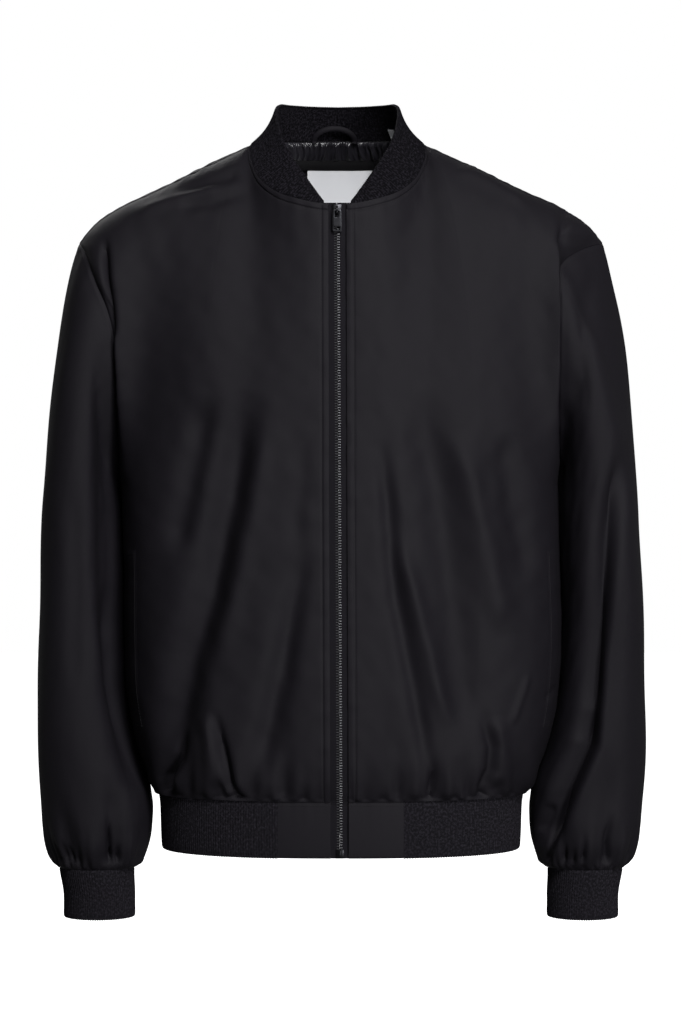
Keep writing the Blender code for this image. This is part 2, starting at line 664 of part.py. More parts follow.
def collar_form():
    """Three rows of places up the collar's outside, with their normals and the band's width there."""
    half = [(n.side, n.depth, n.height) for n in NECKLINE]
    edge = [(n.edge_side, n.edge_depth, n.edge_height) for n in NECKLINE]
    along, length = shares_along(half)
    count = 2 * int(length / COLLAR_RIB_PITCH)
    shares = np.linspace(COLLAR_END_GAP / length, 1.0, count + 1)
    joins = collar_joins()
    seam = np.stack([np.interp(shares, shares_along(joins)[0], [p[i] for p in joins]) for i in range(3)], -1)
    top = np.stack([smooth_table(shares, along, [p[i] for p in edge]) for i in range(3)], -1)
    seam = np.concatenate([seam * (-1, 1, 1), seam[-2::-1]])
    top = np.concatenate([top * (-1, 1, 1), top[-2::-1]])
    rows = []
    for share in (0.0, 0.5, 1.0):
        rows.append(seam + (top - seam) * share)
    places = np.stack(rows)
    places[..., 0] += NECK_SHIFT
    up = unit(top - seam)
    along_band = unit(np.gradient(places, axis=1))
    normals = unit(np.cross(along_band, np.broadcast_to(up, places.shape)))
    outward = places - np.array([NECK_SHIFT, -0.005, -0.03])
    normals *= np.sign((normals * outward).sum(-1, keepdims=True))
    width = np.linalg.norm(top - seam, axis=-1)
    bow = smooth_table(shares, along, [n.bow for n in NECKLINE])
    roll = np.concatenate([bow, bow[-2::-1]]) * width
    places = places + normals * np.array([0.0, 1.0, 0.0])[:, None, None] * roll[:, None]
    places[0] += up * COLLAR_GAP
    return places, normals, width


def make_collar(material):
    """The rib band, from zip top to zip top, with ribs raised in its outer points."""
    places, normals, width = collar_form()
    ribs = np.where(np.arange(places.shape[1]) % 2 == 1, RIB_HEIGHT, 0.0)
    ribs = ribs * smooth_step(width / 0.012)
    outer = places + normals * ribs[:, None]
    return wall("collar", outer, places - normals * BAND_WALL, material)


def hem_ring(front_from, front_to, pitch):
    """Places round the hem's level section between two angles, evenly spaced along it."""
    angle = np.linspace(front_from, front_to, 2000)
    power = 2 / BODY_SQUARENESS
    side = HEM_HALF_WIDTH * np.sign(np.sin(angle)) * np.abs(np.sin(angle)) ** power
    depth = np.where(np.cos(angle) > 0, HEM_FRONT_DEPTH, HEM_BACK_DEPTH)
    reach = -depth * np.sign(np.cos(angle)) * np.abs(np.cos(angle)) ** power
    line = np.stack([side, reach, 0.0 * angle], axis=-1)
    along, length = shares_along(line)
    count = 2 * max(1, int(length / pitch))
    wanted = np.linspace(0, 1, count + 1)
    return np.stack([np.interp(wanted, along, line[:, i]) for i in range(3)], axis=-1)


def ring_normals(ring):
    normals = unit(np.cross(np.gradient(ring, axis=0), np.array([0.0, 0.0, 1.0])))
    facing = np.sign((normals * (ring * (1, 1, 0))).sum(-1, keepdims=True))
    return normals * facing


def hem_angle(side):
    return math.asin((abs(side) / HEM_HALF_WIDTH) ** (BODY_SQUARENESS / 2)) * math.copysign(1, side)


def hem_band(name, ring, thickness, ribs, material):
    """A band of the hem, from its seam down to its lower edge."""
    normals = ring_normals(ring)
    outer = ring + normals * ribs[:, None]
    inner = ring - normals * thickness
    heights = (HEM_SEAM_HEIGHT, HEM_BOTTOM_HEIGHT)
    outer_rows = np.stack([outer + np.array([0, 0, height]) for height in heights])
    inner_rows = np.stack([inner + np.array([0, 0, height]) for height in heights])
    return wall(name, outer_rows, inner_rows, material)


def make_hem_rib(material):
    gap = SEAM_GAP / HEM_HALF_WIDTH
    start = hem_angle(HEM_TAB_EDGE) + gap
    end = 2 * math.pi + hem_angle(-HEM_TAB_EDGE) - gap
    ring = hem_ring(start, end, HEM_RIB_PITCH)
    ribs = np.where(np.arange(len(ring)) % 2 == 1, RIB_HEIGHT, 0.0)
    return hem_band("hem_rib", ring, BAND_WALL, ribs, material)


def make_hem_tab(hand, material):
    middle = (HEM_SEAM_HEIGHT + HEM_BOTTOM_HEIGHT) / 2
    near = float(zip_side(middle)) + hand * ZIP_OPENING_HALF
    ring = hem_ring(hem_angle(near), hem_angle(hand * HEM_TAB_EDGE), HEM_TAB_STEP)
    name = "hem_tab_left" if hand < 0 else "hem_tab_right"
    return hem_band(name, ring, TAB_WALL, np.zeros(len(ring)), material)


def make_cuff(hand, material):
    count = 2 * int(2 * math.pi * CUFF_TOP_HALF / CUFF_RIB_PITCH)
    angle = np.arange(count) / count * 2 * math.pi
    way = np.stack([np.cos(angle), np.sin(angle), 0 * angle], axis=-1)
    ribs = np.where(np.arange(count) % 2 == 1, RIB_HEIGHT, 0.0)[:, None]
    outer = []
    inner = []
    for half, height in ((CUFF_TOP_HALF, CUFF_TOP_HEIGHT - SEAM_GAP), (CUFF_BOTTOM_HALF, CUFF_BOTTOM_HEIGHT)):
        middle = np.array([hand * CUFF_CENTRE, 0.0, height])
        outer.append(middle + way * (half + ribs))
        inner.append(middle + way * (half - BAND_WALL))
    name = "cuff_left" if hand < 0 else "cuff_right"
    return wall(name, np.stack(outer), np.stack(inner), material, around=True)


def centre_front_line():
    """Heights and depths of the cloth's edge beside the zip, at the panel's own corners."""
    downs = drawn_in(np.linspace(0, 1, YOKE_ROWS + BODY_ROWS + 1), GAP_DOWN, 0.0)
    line = body_form(np.zeros(len(downs)), downs, -1, True)
    heights = np.concatenate([line[:, 2], [HEM_SEAM_HEIGHT, HEM_BOTTOM_HEIGHT]])
    depths = np.concatenate([line[:, 1], [-HEM_FRONT_DEPTH, -HEM_FRONT_DEPTH]])
    return heights, depths


def centre_front_depth(height):
    """How far forward the cloth lies beside the zip, at a height."""
    heights, depths = centre_front_line()
    return np.interp(-np.asarray(height), -heights, depths)


def strip(name, from_side, to_side, top, bottom, front, thickness, material):
    """A flat strip that follows the centre front: its sides are distances from the zip's line."""
    joins = centre_front_line()[0]
    between = joins[(joins < top - 0.002) & (joins > bottom + 0.002)]
    heights = np.concatenate([[top], between, [bottom]])
    outer = np.zeros((len(heights), 2, 3))
    outer[:, 0, 0] = zip_side(heights) + from_side
    outer[:, 1, 0] = zip_side(heights) + to_side
    outer[..., 1] = (centre_front_depth(heights) + front)[:, None]
    outer[..., 2] = heights[:, None]
    return wall(name, outer, outer + np.array([0, thickness, 0]), material)


def make_zip(tape, metal):
    inner = CHAIN_HALF_WIDTH + LAYER_GAP
    for hand, name in ((-1, "zip_tape_left"), (1, "zip_tape_right")):
        near, far = sorted((hand * inner, hand * TAPE_HALF_WIDTH))
        strip(name, near, far, TAPE_TOP_HEIGHT, HEM_BOTTOM_HEIGHT, TAPE_SETBACK, TAPE_THICKNESS, tape)
    chain_front = TAPE_SETBACK + TAPE_THICKNESS / 2 - CHAIN_THICKNESS / 2
    low = HEM_BOTTOM_HEIGHT + BOX_HEIGHT + LAYER_GAP
    strip(
        "zip_chain",
        -CHAIN_HALF_WIDTH,
        CHAIN_HALF_WIDTH,
        ZIP_TOP_HEIGHT,
        low,
        chain_front,
        CHAIN_THICKNESS,
        metal,
    )


def box_mesh(low, high):
    """A box between two corners, as a closed mesh from the cube primitive."""
    made = bmesh.new()
    bmesh.ops.create_cube(made, size=1.0)
    size = np.subtract(high, low)
    middle = np.add(high, low) / 2
    for vert in made.verts:
        vert.co = [middle[i] + vert.co[i] * size[i] for i in range(3)]
    mesh = bpy.data.meshes.new("box")
    made.to_mesh(mesh)
    made.free()
    return mesh


def helper(mesh):
    """A cutter or a piece to join, kept in its own collection and left out of the part."""
    made = bpy.data.objects.new("helper", mesh)
    made.hide_render = True
    made.display_type = "WIRE"
    bpy.data.collections["cutters"].objects.link(made)
    return made


def combine(target, other, operation):
    change = target.modifiers.new(operation.lower(), "BOOLEAN")
    change.operation = operation
    change.object = other
    return change


def make_zip_box(metal):
    side = float(zip_side(HEM_BOTTOM_HEIGHT))
    front = float(centre_front_depth(HEM_BOTTOM_HEIGHT)) + TAPE_SETBACK + TAPE_THICKNESS / 2
    nearest = front - BOX_HALF_DEPTH
    low = (side - CHAIN_HALF_WIDTH, nearest, HEM_BOTTOM_HEIGHT)
    high = (side + CHAIN_HALF_WIDTH, front + BOX_HALF_DEPTH, HEM_BOTTOM_HEIGHT + BOX_HEIGHT)
    made = add_object("zip_box", box_mesh(low, high), metal, smooth=False)
    plate_low = (side - BOX_HALF_WIDTH, nearest, HEM_BOTTOM_HEIGHT)
    plate_high = (side + BOX_HALF_WIDTH, nearest + BOX_PLATE_THICKNESS, HEM_BOTTOM_HEIGHT + BOX_HEIGHT)
    combine(made, helper(box_mesh(plate_low, plate_high)), "UNION")
    return made


def seat_on_zip(made):
    """Puts a piece made round the pull's pivot on the zip, leaning as the chest leans there."""
    reach = SLIDER_LENGTH / 2
    upper = float(centre_front_depth(PULL_PIVOT_HEIGHT))
    lower = float(centre_front_depth(PULL_PIVOT_HEIGHT - PULL_LENGTH))
    lean = math.atan2(upper - lower, PULL_LENGTH)
    plane = float(centre_front_depth(PULL_PIVOT_HEIGHT - reach)) + reach * math.tan(lean)
    plane += TAPE_SETBACK + TAPE_THICKNESS / 2
    made.location = (float(zip_side(PULL_PIVOT_HEIGHT)), plane + PIVOT_DEPTH, PULL_PIVOT_HEIGHT)
    made.rotation_euler = (-lean, 0.0, 0.0)
    return made


def tube_mesh(points, radius, sides=2):
    """A round bar along a run of points, as a closed mesh."""
    curve = bpy.data.curves.new("bar", "CURVE")
    curve.dimensions = "3D"
    curve.bevel_depth = radius
    curve.bevel_resolution = sides
    curve.use_fill_caps = True
    line = curve.splines.new("POLY")
    line.points.add(len(points) - 1)
    for spline_point, place in zip(line.points, points):
        spline_point.co = (*place, 1.0)
    bar = bpy.data.objects.new("bar", curve)
    bpy.data.collections["cutters"].objects.link(bar)
    bpy.context.view_layer.update()
    graph = bpy.context.evaluated_depsgraph_get()
    mesh = bpy.data.meshes.new_from_object(bar.evaluated_get(graph))
    bpy.data.objects.remove(bar)
    welded = bmesh.new()
    welded.from_mesh(mesh)
    bmesh.ops.remove_doubles(welded, verts=welded.verts, dist=1e-6)
    welded.to_mesh(mesh)
    welded.free()
    mesh.materials.clear()
    return mesh


def make_slider(metal):
    """Two plates held apart by a post at the top, with the bridge that holds the pull."""
    half = SLIDER_LENGTH / 2
    near = PLATE_FACE + SLIDER_PLATE
    far = near + SLIDER_MOUTH
    front = box_mesh((-SLIDER_HALF_WIDTH, PLATE_FACE, -half), (SLIDER_HALF_WIDTH, near, half))
    made = seat_on_zip(add_object("zip_slider", front, metal, smooth=False))
    back = box_mesh((-SLIDER_HALF_WIDTH, far, -half), (SLIDER_HALF_WIDTH, far + SLIDER_PLATE, half))
    post_low = (-SLIDER_POST, near - SLIDER_PLATE / 2, half - SLIDER_POST_LENGTH)
    post = box_mesh(post_low, (SLIDER_POST, far + SLIDER_PLATE / 2, half - LAYER_GAP))
    arch = []
    for angle in np.linspace(-0.12, math.pi + 0.12, 12):
        reach = PLATE_FACE - (BRIDGE_RISE - BRIDGE_RADIUS) * math.sin(angle)
        arch.append((0.0, reach, BRIDGE_HALF_SPAN * math.cos(angle)))
    bridge = tube_mesh(arch, BRIDGE_RADIUS)
    for vert in bridge.vertices:
        vert.co.x *= BRIDGE_WIDTH_SCALE
    for mesh in (back, post, bridge):
        combine(made, seat_on_zip(helper(mesh)), "UNION")
    return made


def make_pull(metal):
    """The pull tab: a plate with an eye round the bridge and a slot near its end."""
    half = PULL_THICKNESS / 2
    plate = box_mesh((-PULL_HALF_WIDTH, -half, -PULL_LENGTH), (PULL_HALF_WIDTH, half, half))
    made = seat_on_zip(add_object("zip_pull", plate, metal, smooth=False))
    eye_low = (-PULL_EYE_HALF_WIDTH, -2 * half, -half - PULL_EYE_LENGTH)
    eye = box_mesh(eye_low, (PULL_EYE_HALF_WIDTH, 2 * half, -half))
    slot_half = PULL_HALF_WIDTH * 0.6
    slot_foot = PULL_SLOT_FOOT - PULL_LENGTH
    slot = box_mesh((-slot_half, -2 * half, slot_foot), (slot_half, 2 * half, slot_foot + PULL_SLOT_LENGTH))
    for mesh in (eye, slot):
        combine(made, seat_on_zip(helper(mesh)), "DIFFERENCE")
    return made


def make_pocket(hand, material):
    """A welt laid on the front beside the side seam, from the front's own points moved out."""
    shares = np.linspace(POCKET_FROM_SHARE, POCKET_TO_SHARE, 4)
    span = HEM_SEAM_HEIGHT - UNDERARM_HEIGHT
    tops = YOKE_SHARE + (1 - YOKE_SHARE) * (POCKET_TOP_HEIGHT - UNDERARM_HEIGHT) / span
    lows = YOKE_SHARE + (1 - YOKE_SHARE) * (POCKET_BOTTOM_HEIGHT - UNDERARM_HEIGHT) / span
    share, down = grid(shares, np.linspace(tops, lows, 9))
    places, normals = body_cloth(share, down, hand, True)
    inner = places + normals * POCKET_LIFT
    name = "pocket_left" if hand < 0 else "pocket_right"
    return wall(name, inner + normals * POCKET_WALL, inner, material)


def back_patch(sides, heights):
    """Places on the inside of the back, read between its own points, and the way into the neck."""
    places, normals = back_grid()
    inside = places - normals * SHELL_WALL
    found = np.zeros((len(heights), len(sides), 3))
    inwards = np.zeros(found.shape)
    for row, height in enumerate(heights):
        level = []
        ways = []
        for line, normal in zip(inside.swapaxes(0, 1), normals.swapaxes(0, 1)):
            fallen = -np.minimum.accumulate(line[:, 2])
            level.append([np.interp(-height, fallen, line[:, axis]) for axis in range(3)])
            ways.append([np.interp(-height, fallen, normal[:, axis]) for axis in range(3)])
        level = np.array(level)
        ways = np.array(ways)
        for axis in range(3):
            found[row, :, axis] = np.interp(sides, level[:, 0], level[:, axis])
            inwards[row, :, axis] = -np.interp(sides, level[:, 0], ways[:, axis])
    return found, unit(inwards)


def neck_layer(name, sides, heights, gap, fullness, material):
    """A thin piece that lies inside the back neck, its inner points raised by the fullness."""
    places, inwards = back_patch(sides, heights)
    under = places + inwards * gap
    return wall(name, under + inwards * (LINING_WALL + fullness)[..., None], under, material)


def make_neck_inside(satin, shell, label):
    """The satin strip, the facing band and the bare label inside the back neck."""
    sides = np.linspace(-NECK_STRIP_SIDE, NECK_STRIP_SIDE, SATIN_GATHERS * 2 + 1)
    heights = np.linspace(SATIN_TOP_HEIGHT, SATIN_LOW_HEIGHT + LAYER_GAP, 4)
    swell = np.array(SATIN_SWELL)[:, None] * SATIN_FULLNESS
    gathers = np.where(np.arange(len(sides)) % 2 == 1, 1.0, 0.0)[None, :]
    neck_layer("neck_satin", sides, heights, LINING_GAP, swell * gathers, satin)
    plain = np.linspace(-NECK_STRIP_SIDE, NECK_STRIP_SIDE, 17)
    heights = np.array([SATIN_LOW_HEIGHT, FACING_LOW_HEIGHT])
    neck_layer("neck_facing", plain, heights, LINING_GAP, np.zeros((2, 17)), shell)
    across = np.linspace(LABEL_LEFT_SIDE, LABEL_RIGHT_SIDE, 9)
    heights = np.linspace(FACING_LOW_HEIGHT - LAYER_GAP, LABEL_LOW_HEIGHT, 6)
    neck_layer("neck_label", across, heights, LINING_GAP, np.zeros((6, 9)), label)


def make_loop(shell):
    """The hanger loop: its ends rest on the satin and its arch stands off the collar."""
    feet = [LOOP_SIDE - LOOP_HALF_SPAN, LOOP_SIDE, LOOP_SIDE + LOOP_HALF_SPAN]
    seats, inwards = back_patch(feet, [LOOP_FOOT_HEIGHT])
    lift = LINING_GAP + LINING_WALL + SATIN_FULLNESS * LOOP_FOOT_SWELL + LOOP_RADIUS + LAYER_GAP
    seats = seats[0] + inwards[0] * lift
    points = []
    for angle in np.linspace(0.0, math.pi, 15):
        rise = math.sin(angle)
        side = LOOP_SIDE + LOOP_HALF_SPAN * math.cos(angle)
        depth = np.interp(side, seats[:, 0], seats[:, 1])
        points.append((side, depth - LOOP_LEAN * rise, LOOP_FOOT_HEIGHT + LOOP_RISE * rise))
    return add_object("hanger_loop", tube_mesh(points, LOOP_RADIUS), shell)


def make_collar_tab(label):
    """The small bare tab on the collar's inner side, made from the collar's own places moved in."""
    places, normals, _ = collar_form()
    inside = places - normals * (BAND_WALL + COLLAR_TAB_GAP)
    on_right = places[0, :, 0] > 0
    columns = np.flatnonzero(on_right & (np.abs(places[0, :, 1] - COLLAR_TAB_DEPTH) < COLLAR_TAB_HALF))
    rows = []
    for share in (COLLAR_TAB_HIGH, COLLAR_TAB_LOW):
        rows.append(inside[0, columns] + (inside[1, columns] - inside[0, columns]) * 2 * share)
    front = np.stack(rows)
    return wall("collar_tab", front - normals[:2, columns] * LINING_WALL, front, label)


# ---- the jacket ------------------------------------------------------------------------------------
def clear_scene():
    for old in list(bpy.data.objects):
        bpy.data.objects.remove(old)
    for name in ("bomber_jacket", "cutters"):
        bpy.context.scene.collection.children.link(bpy.data.collections.new(name))


def main():
    clear_scene()
    shell = make_material("shell_cloth", (0.016, 0.015, 0.019), 0.72)
    rib = make_material("rib_knit", (0.010, 0.009, 0.012), 0.92)
    satin = make_material("satin", (0.020, 0.019, 0.024), 0.35)
    tape = make_material("zip_tape", (0.012, 0.011, 0.014), 0.85)
    metal = make_material("gunmetal", (0.10, 0.10, 0.11), 0.38, 0.9)
    label = make_material("white_label", (0.72, 0.74, 0.78), 0.6)
    for hand in (-1, 1):
        make_front(hand, shell)
        make_sleeve(hand, shell)
        make_cuff(hand, rib)
        make_hem_tab(hand, shell)
        make_pocket(hand, shell)
    make_back(shell)
    make_collar(rib)
    make_hem_rib(rib)
    make_zip(tape, metal)
    make_zip_box(metal)
    make_slider(metal)
    make_pull(metal)
    make_neck_inside(satin, shell, label)
    make_loop(shell)
    make_collar_tab(label)


main()
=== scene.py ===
"""The dressed bomber jacket: near-black cloth, ribbed collar, cuffs and hem, and a gunmetal zip.

Metres, +Z up, the front faces -Y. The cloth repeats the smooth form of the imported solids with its
own finer folds, seams and stitching.
"""

from __future__ import annotations

import logging
import math
from dataclasses import dataclass, field, replace
from enum import Enum
from functools import cached_property
from typing import NamedTuple, Sequence

import bmesh
import bpy
import numpy as np
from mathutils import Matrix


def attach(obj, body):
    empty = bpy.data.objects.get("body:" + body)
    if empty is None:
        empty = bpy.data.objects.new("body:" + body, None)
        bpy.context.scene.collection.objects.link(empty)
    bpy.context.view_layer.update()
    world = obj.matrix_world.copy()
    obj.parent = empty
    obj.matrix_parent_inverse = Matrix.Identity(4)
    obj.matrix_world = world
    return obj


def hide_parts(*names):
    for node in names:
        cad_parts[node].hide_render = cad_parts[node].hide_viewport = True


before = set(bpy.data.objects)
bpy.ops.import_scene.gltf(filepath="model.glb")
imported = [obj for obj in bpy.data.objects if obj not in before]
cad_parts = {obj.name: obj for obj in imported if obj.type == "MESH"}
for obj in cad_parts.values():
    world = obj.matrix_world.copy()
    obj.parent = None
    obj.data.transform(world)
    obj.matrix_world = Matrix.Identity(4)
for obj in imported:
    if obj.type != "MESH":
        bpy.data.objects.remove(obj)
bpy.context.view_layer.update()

Array = np.ndarray
log = logging.getLogger("jacket")


class Hand(Enum):
    """The half of the jacket that a piece is on, as someone who looks at the front sees it."""

    LEFT = -1
    RIGHT = 1

    @property
    def tag(self) -> str:
        """The hand's word in piece names."""
        return self.name.lower()


class Face(Enum):
    """Whether a panel is on the front or on the back."""

    FRONT = "front"
    BACK = "back"


class Body(Enum):
    """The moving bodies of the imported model."""

    JACKET = "jacket"
    PULL = "zip_pull"


# ---- tables of the form -------------------------------------------------------------------------
class Neck(NamedTuple):
    """The neck seam and the collar's top edge beside it."""

    side: float
    depth: float
    height: float
    edge_side: float
    edge_depth: float
    edge_height: float
    bow: float


class Leave(NamedTuple):
    """How cloth leaves its top edge."""

    share: float
    out: float
    forward: float
    down: float


class Section(NamedTuple):
    """A level section of the body."""

    height: float
    left: float
    right: float
    front: float
    back: float


class Ring(NamedTuple):
    """A level section of a sleeve."""

    height: float
    outer: float
    inner: float
    front: float
    back: float


class Crease(NamedTuple):
    """A fold or crease along a run of (side, height) places; a negative depth is a ridge."""

    places: tuple[tuple[float, float], ...]
    width: float
    depth: float


def creases(*rows: Sequence[float]) -> list[Crease]:
    """Creases from rows of millimetres: side and height of each place in turn, then width and depth."""
    made = []
    for row in rows:
        *run, width, depth = (value / 1000 for value in row)
        made.append(Crease(tuple(zip(run[::2], run[1::2])), width, depth))
    return made


NECKLINE = [
    Neck(0.0088, -0.0900, -0.0695, 0.0116, -0.0897, -0.0688, 0.02),
    Neck(0.0200, -0.0900, -0.0686, 0.0166, -0.0874, -0.0622, 0.02),
    Neck(0.0350, -0.0880, -0.0652, 0.0236, -0.0828, -0.0522, 0.03),
    Neck(0.0560, -0.0790, -0.0580, 0.0335, -0.0715, -0.0372, 0.03),
    Neck(0.0735, -0.0620, -0.0445, 0.0440, -0.0545, -0.0200, 0.00),
    Neck(0.0850, -0.0320, -0.0213, 0.0572, -0.0280, 0.0085, -0.07),
    Neck(0.0870, -0.0060, -0.0025, 0.0620, 0.0020, 0.0335, -0.09),
    Neck(0.0800, 0.0300, 0.0060, 0.0590, 0.0290, 0.0440, -0.07),
    Neck(0.0620, 0.0620, 0.0120, 0.0480, 0.0530, 0.0468, -0.02),
    Neck(0.0340, 0.0820, 0.0145, 0.0270, 0.0690, 0.0478, 0.04),
    Neck(0.0000, 0.0880, 0.0150, 0.0000, 0.0740, 0.0478, 0.05),
]
HIGH_SHOULDER = 6
SHOULDER = [
    (0.0870, -0.0060, -0.0025),
    (0.1300, -0.0100, -0.0225),
    (0.1800, -0.0110, -0.0470),
    (0.2250, -0.0090, -0.0680),
    (0.2470, -0.0050, -0.0830),
    (0.2610, 0.0000, -0.0990),
]
OVER_SLEEVE = {
    Hand.LEFT: [0.270, 0.256, 0.2480, 0.2395, 0.2285, 0.2215, 0.2200, 0.2200, 0.2210, 0.2240, 0.2400],
    Hand.RIGHT: [0.266, 0.238, 0.2170, 0.2140, 0.2130, 0.2125, 0.2125, 0.2130, 0.2150, 0.2200, 0.2400],
}
LEAVE_FRONT = [
    Leave(0.00, 0.000, 0.030, 0.27),
    Leave(0.25, 0.020, 0.090, 0.25),
    Leave(0.42, 0.080, 0.260, 0.13),
    Leave(0.60, 0.015, 0.270, 0.08),
    Leave(1.00, 0.000, 0.310, 0.05),
]
LEAVE_BACK = [
    Leave(0.00, 0.000, -0.120, 0.20),
    Leave(0.22, 0.040, -0.180, 0.12),
    Leave(0.36, 0.090, -0.250, 0.02),
    Leave(0.60, 0.015, -0.280, -0.05),
    Leave(1.00, 0.000, -0.330, -0.05),
]
BODY = [
    Section(-0.3400, 0.2190, 0.2165, 0.1150, 0.1230),
    Section(-0.4200, 0.2165, 0.2185, 0.1180, 0.1210),
    Section(-0.5000, 0.2160, 0.2205, 0.1210, 0.1200),
    Section(-0.5500, 0.2135, 0.2170, 0.1220, 0.1200),
    Section(-0.5900, 0.2060, 0.2090, 0.1210, 0.1190),
    Section(-0.6200, 0.1970, 0.1985, 0.1180, 0.1170),
    Section(-0.6380, 0.1905, 0.1905, 0.1130, 0.1140),
    Section(-0.6465, 0.1860, 0.1855, 0.1090, 0.1110),
]
SLEEVE = [
    Ring(-0.3700, 0.2980, 0.2190, 0.0740, 0.0790),
    Ring(-0.4500, 0.3010, 0.2190, 0.0720, 0.0780),
    Ring(-0.5300, 0.3030, 0.2190, 0.0680, 0.0750),
    Ring(-0.6000, 0.3025, 0.2080, 0.0640, 0.0700),
    Ring(-0.6500, 0.3005, 0.1900, 0.0600, 0.0650),
    Ring(-0.6800, 0.2985, 0.1890, 0.0570, 0.0610),
    Ring(-0.7000, 0.2945, 0.1920, 0.0520, 0.0560),
    Ring(-0.7110, 0.2905, 0.1955, 0.0460, 0.0490),
    Ring(-0.7175, 0.2870, 0.1985, 0.0420, 0.0435),
    Ring(-0.7215, 0.2835, 0.2035, 0.0385, 0.0385),
]
# Creases that end below these heights run on into the cuff's and the hem's seams.
CUFF_REACH = -0.704
HEM_REACH = -0.638
SLEEVE_BESIDE = 0.190
BODY_FOLDS = {
    Face.FRONT: creases(
        (-91, -250, -107, -354, -128.5, -451, -148, -509, -167, -605, -171, -628, 18, 13),
        (-72, -270, -87, -360, -106, -455, -126, -520, 12, -3.5),
        (-129, -255, -149, -349, -164, -410, 13, 6),
        (-26, -293, -41, -400, 10, 3),
        (-22, -390, -48, -481, -63, -546, -81, -628, 13, 7),
        (-131, -560, -119, -636, 8, -3.5),
        (33, -280, 44, -358, 52, -444, 69, -531, 88, -632, 8, 4.5),
        (53, -390, 79, -481, 105, -578, 9, -4.2),
        (75, -250, 96, -356, 109, -452, 121, -548, 126, -600, 20, 8),
        (112, -290, 160, -488, 13, -4.5),
        (155, -290, 182, -435, 14, 4.5),
        (153, -565, 151, -636, 9, -3.5),
    ),
    Face.BACK: creases(
        (-150, -230, -135, -400, -145, -630, 17, 5),
        (-70, -330, -78, -480, -66, -638, 16, 4),
        (-20, -120, -24, -240, -36, -370, 20, -3),
        (24, -360, 18, -500, 30, -640, 15, 4.5),
        (105, -210, 93, -390, 101, -620, 18, 5),
        (160, -280, 150, -460, 156, -634, 14, -4),
    ),
}
SLEEVE_FOLDS = {
    (Hand.RIGHT, Face.FRONT): creases(
        (280, -300, 261, -380, 247, -483, 240, -595, 11, 15),
        (241, -560, 239, -595, 221, -637, 208, -670, 201, -702, 10, 15),
        (256, -480, 253, -597, 236, -640, 222, -676, 7, -3),
        (228, -140, 236, -200, 229, -270, 12, 4),
        (266, -600, 262, -650, 255, -716, 10, 3.5),
    ),
    (Hand.RIGHT, Face.BACK): creases(
        (250, -220, 262, -400, 252, -600, 15, 5.5),
        (240, -600, 244, -650, 236, -714, 11, 4.5),
    ),
    (Hand.LEFT, Face.FRONT): creases(
        (-229, -190, -226, -276, -225, -431, -216, -535, -198, -628, 13, 12),
        (-223, -440, -217, -530, -208, -595, -200, -632, -194, -655, 12, 7),
        (-226, -620, -223, -670, -228, -716, 10, 4.5),
        (-275, -640, -272, -675, -268, -716, 9, 3.5),
    ),
    (Hand.LEFT, Face.BACK): creases(
        (-246, -240, -260, -420, -250, -610, 15, 5.5),
        (-252, -610, -246, -660, -250, -714, 11, 4.5),
    ),
}
BODY_CREASES = {
    Face.FRONT: creases(
        (-154, -575, -161, -608, -173, -628, -167, -648, 6, 8),
        (-123.5, -555, -114, -596, -106, -631, -97, -648, 4.6, 5.8),
        (-118, -618, -113, -648, 3.6, 3),
        (-116, -630, -110, -644, 2.8, 1),
        (-35, -625, -35, -645, 3.2, 1.2),
        (-166, -50, -133, -45, -96, -34, 7, 2.6),
        (-160, -68, -125, -64, -93, -54, 7, 2.2),
        (-205, -75, -160, -60, -115, -45, 6, -2),
        (112, -26, 147, -43, 186, -68, 7, -2.4),
        (88, -600, 88, -622, 85, -645, 3.2, 4.2),
        (140, -555, 141.2, -575, 146.8, -595, 145.3, -617, 136.7, -634, 135.6, -648, 5.2, 5.4),
        (183, -524, 165, -575, 3.4, -1.6),
        (199, -552, 214, -542, 3.6, 1),
        (-233, -98, -228.5, -140, -224, -168, -221.5, -200, 3.6, 6),
        (222, -62, 219, -85, 217, -109, 4.5, 3),
    ),
    Face.BACK: creases(
        (-146, -250, -136, -400, -142, -560, 6, 1.6),
        (104, -240, 94, -390, 99, -560, 6, 1.6),
        (-70, -420, -76, -520, -66, -638, 5, 1.8),
        (24, -440, 18, -540, 29, -640, 5, 1.8),
        (132, -560, 126, -612, 134, -643, 3.8, 1.8),
        (-112, -590, -108, -640, 3.6, 1.4),
        (-165, -75, -120, -62, -85, -40, 8, 1.4),
        (160, -90, 118, -70, 82, -45, 8, 1.4),
        (226, -110, 214, -170, 200, -240, 6, 1.6),
        (-228, -115, -216, -180, -204, -250, 6, 1.6),
        (60, -610, 58, -642, 3.4, 1.2),
    ),
}
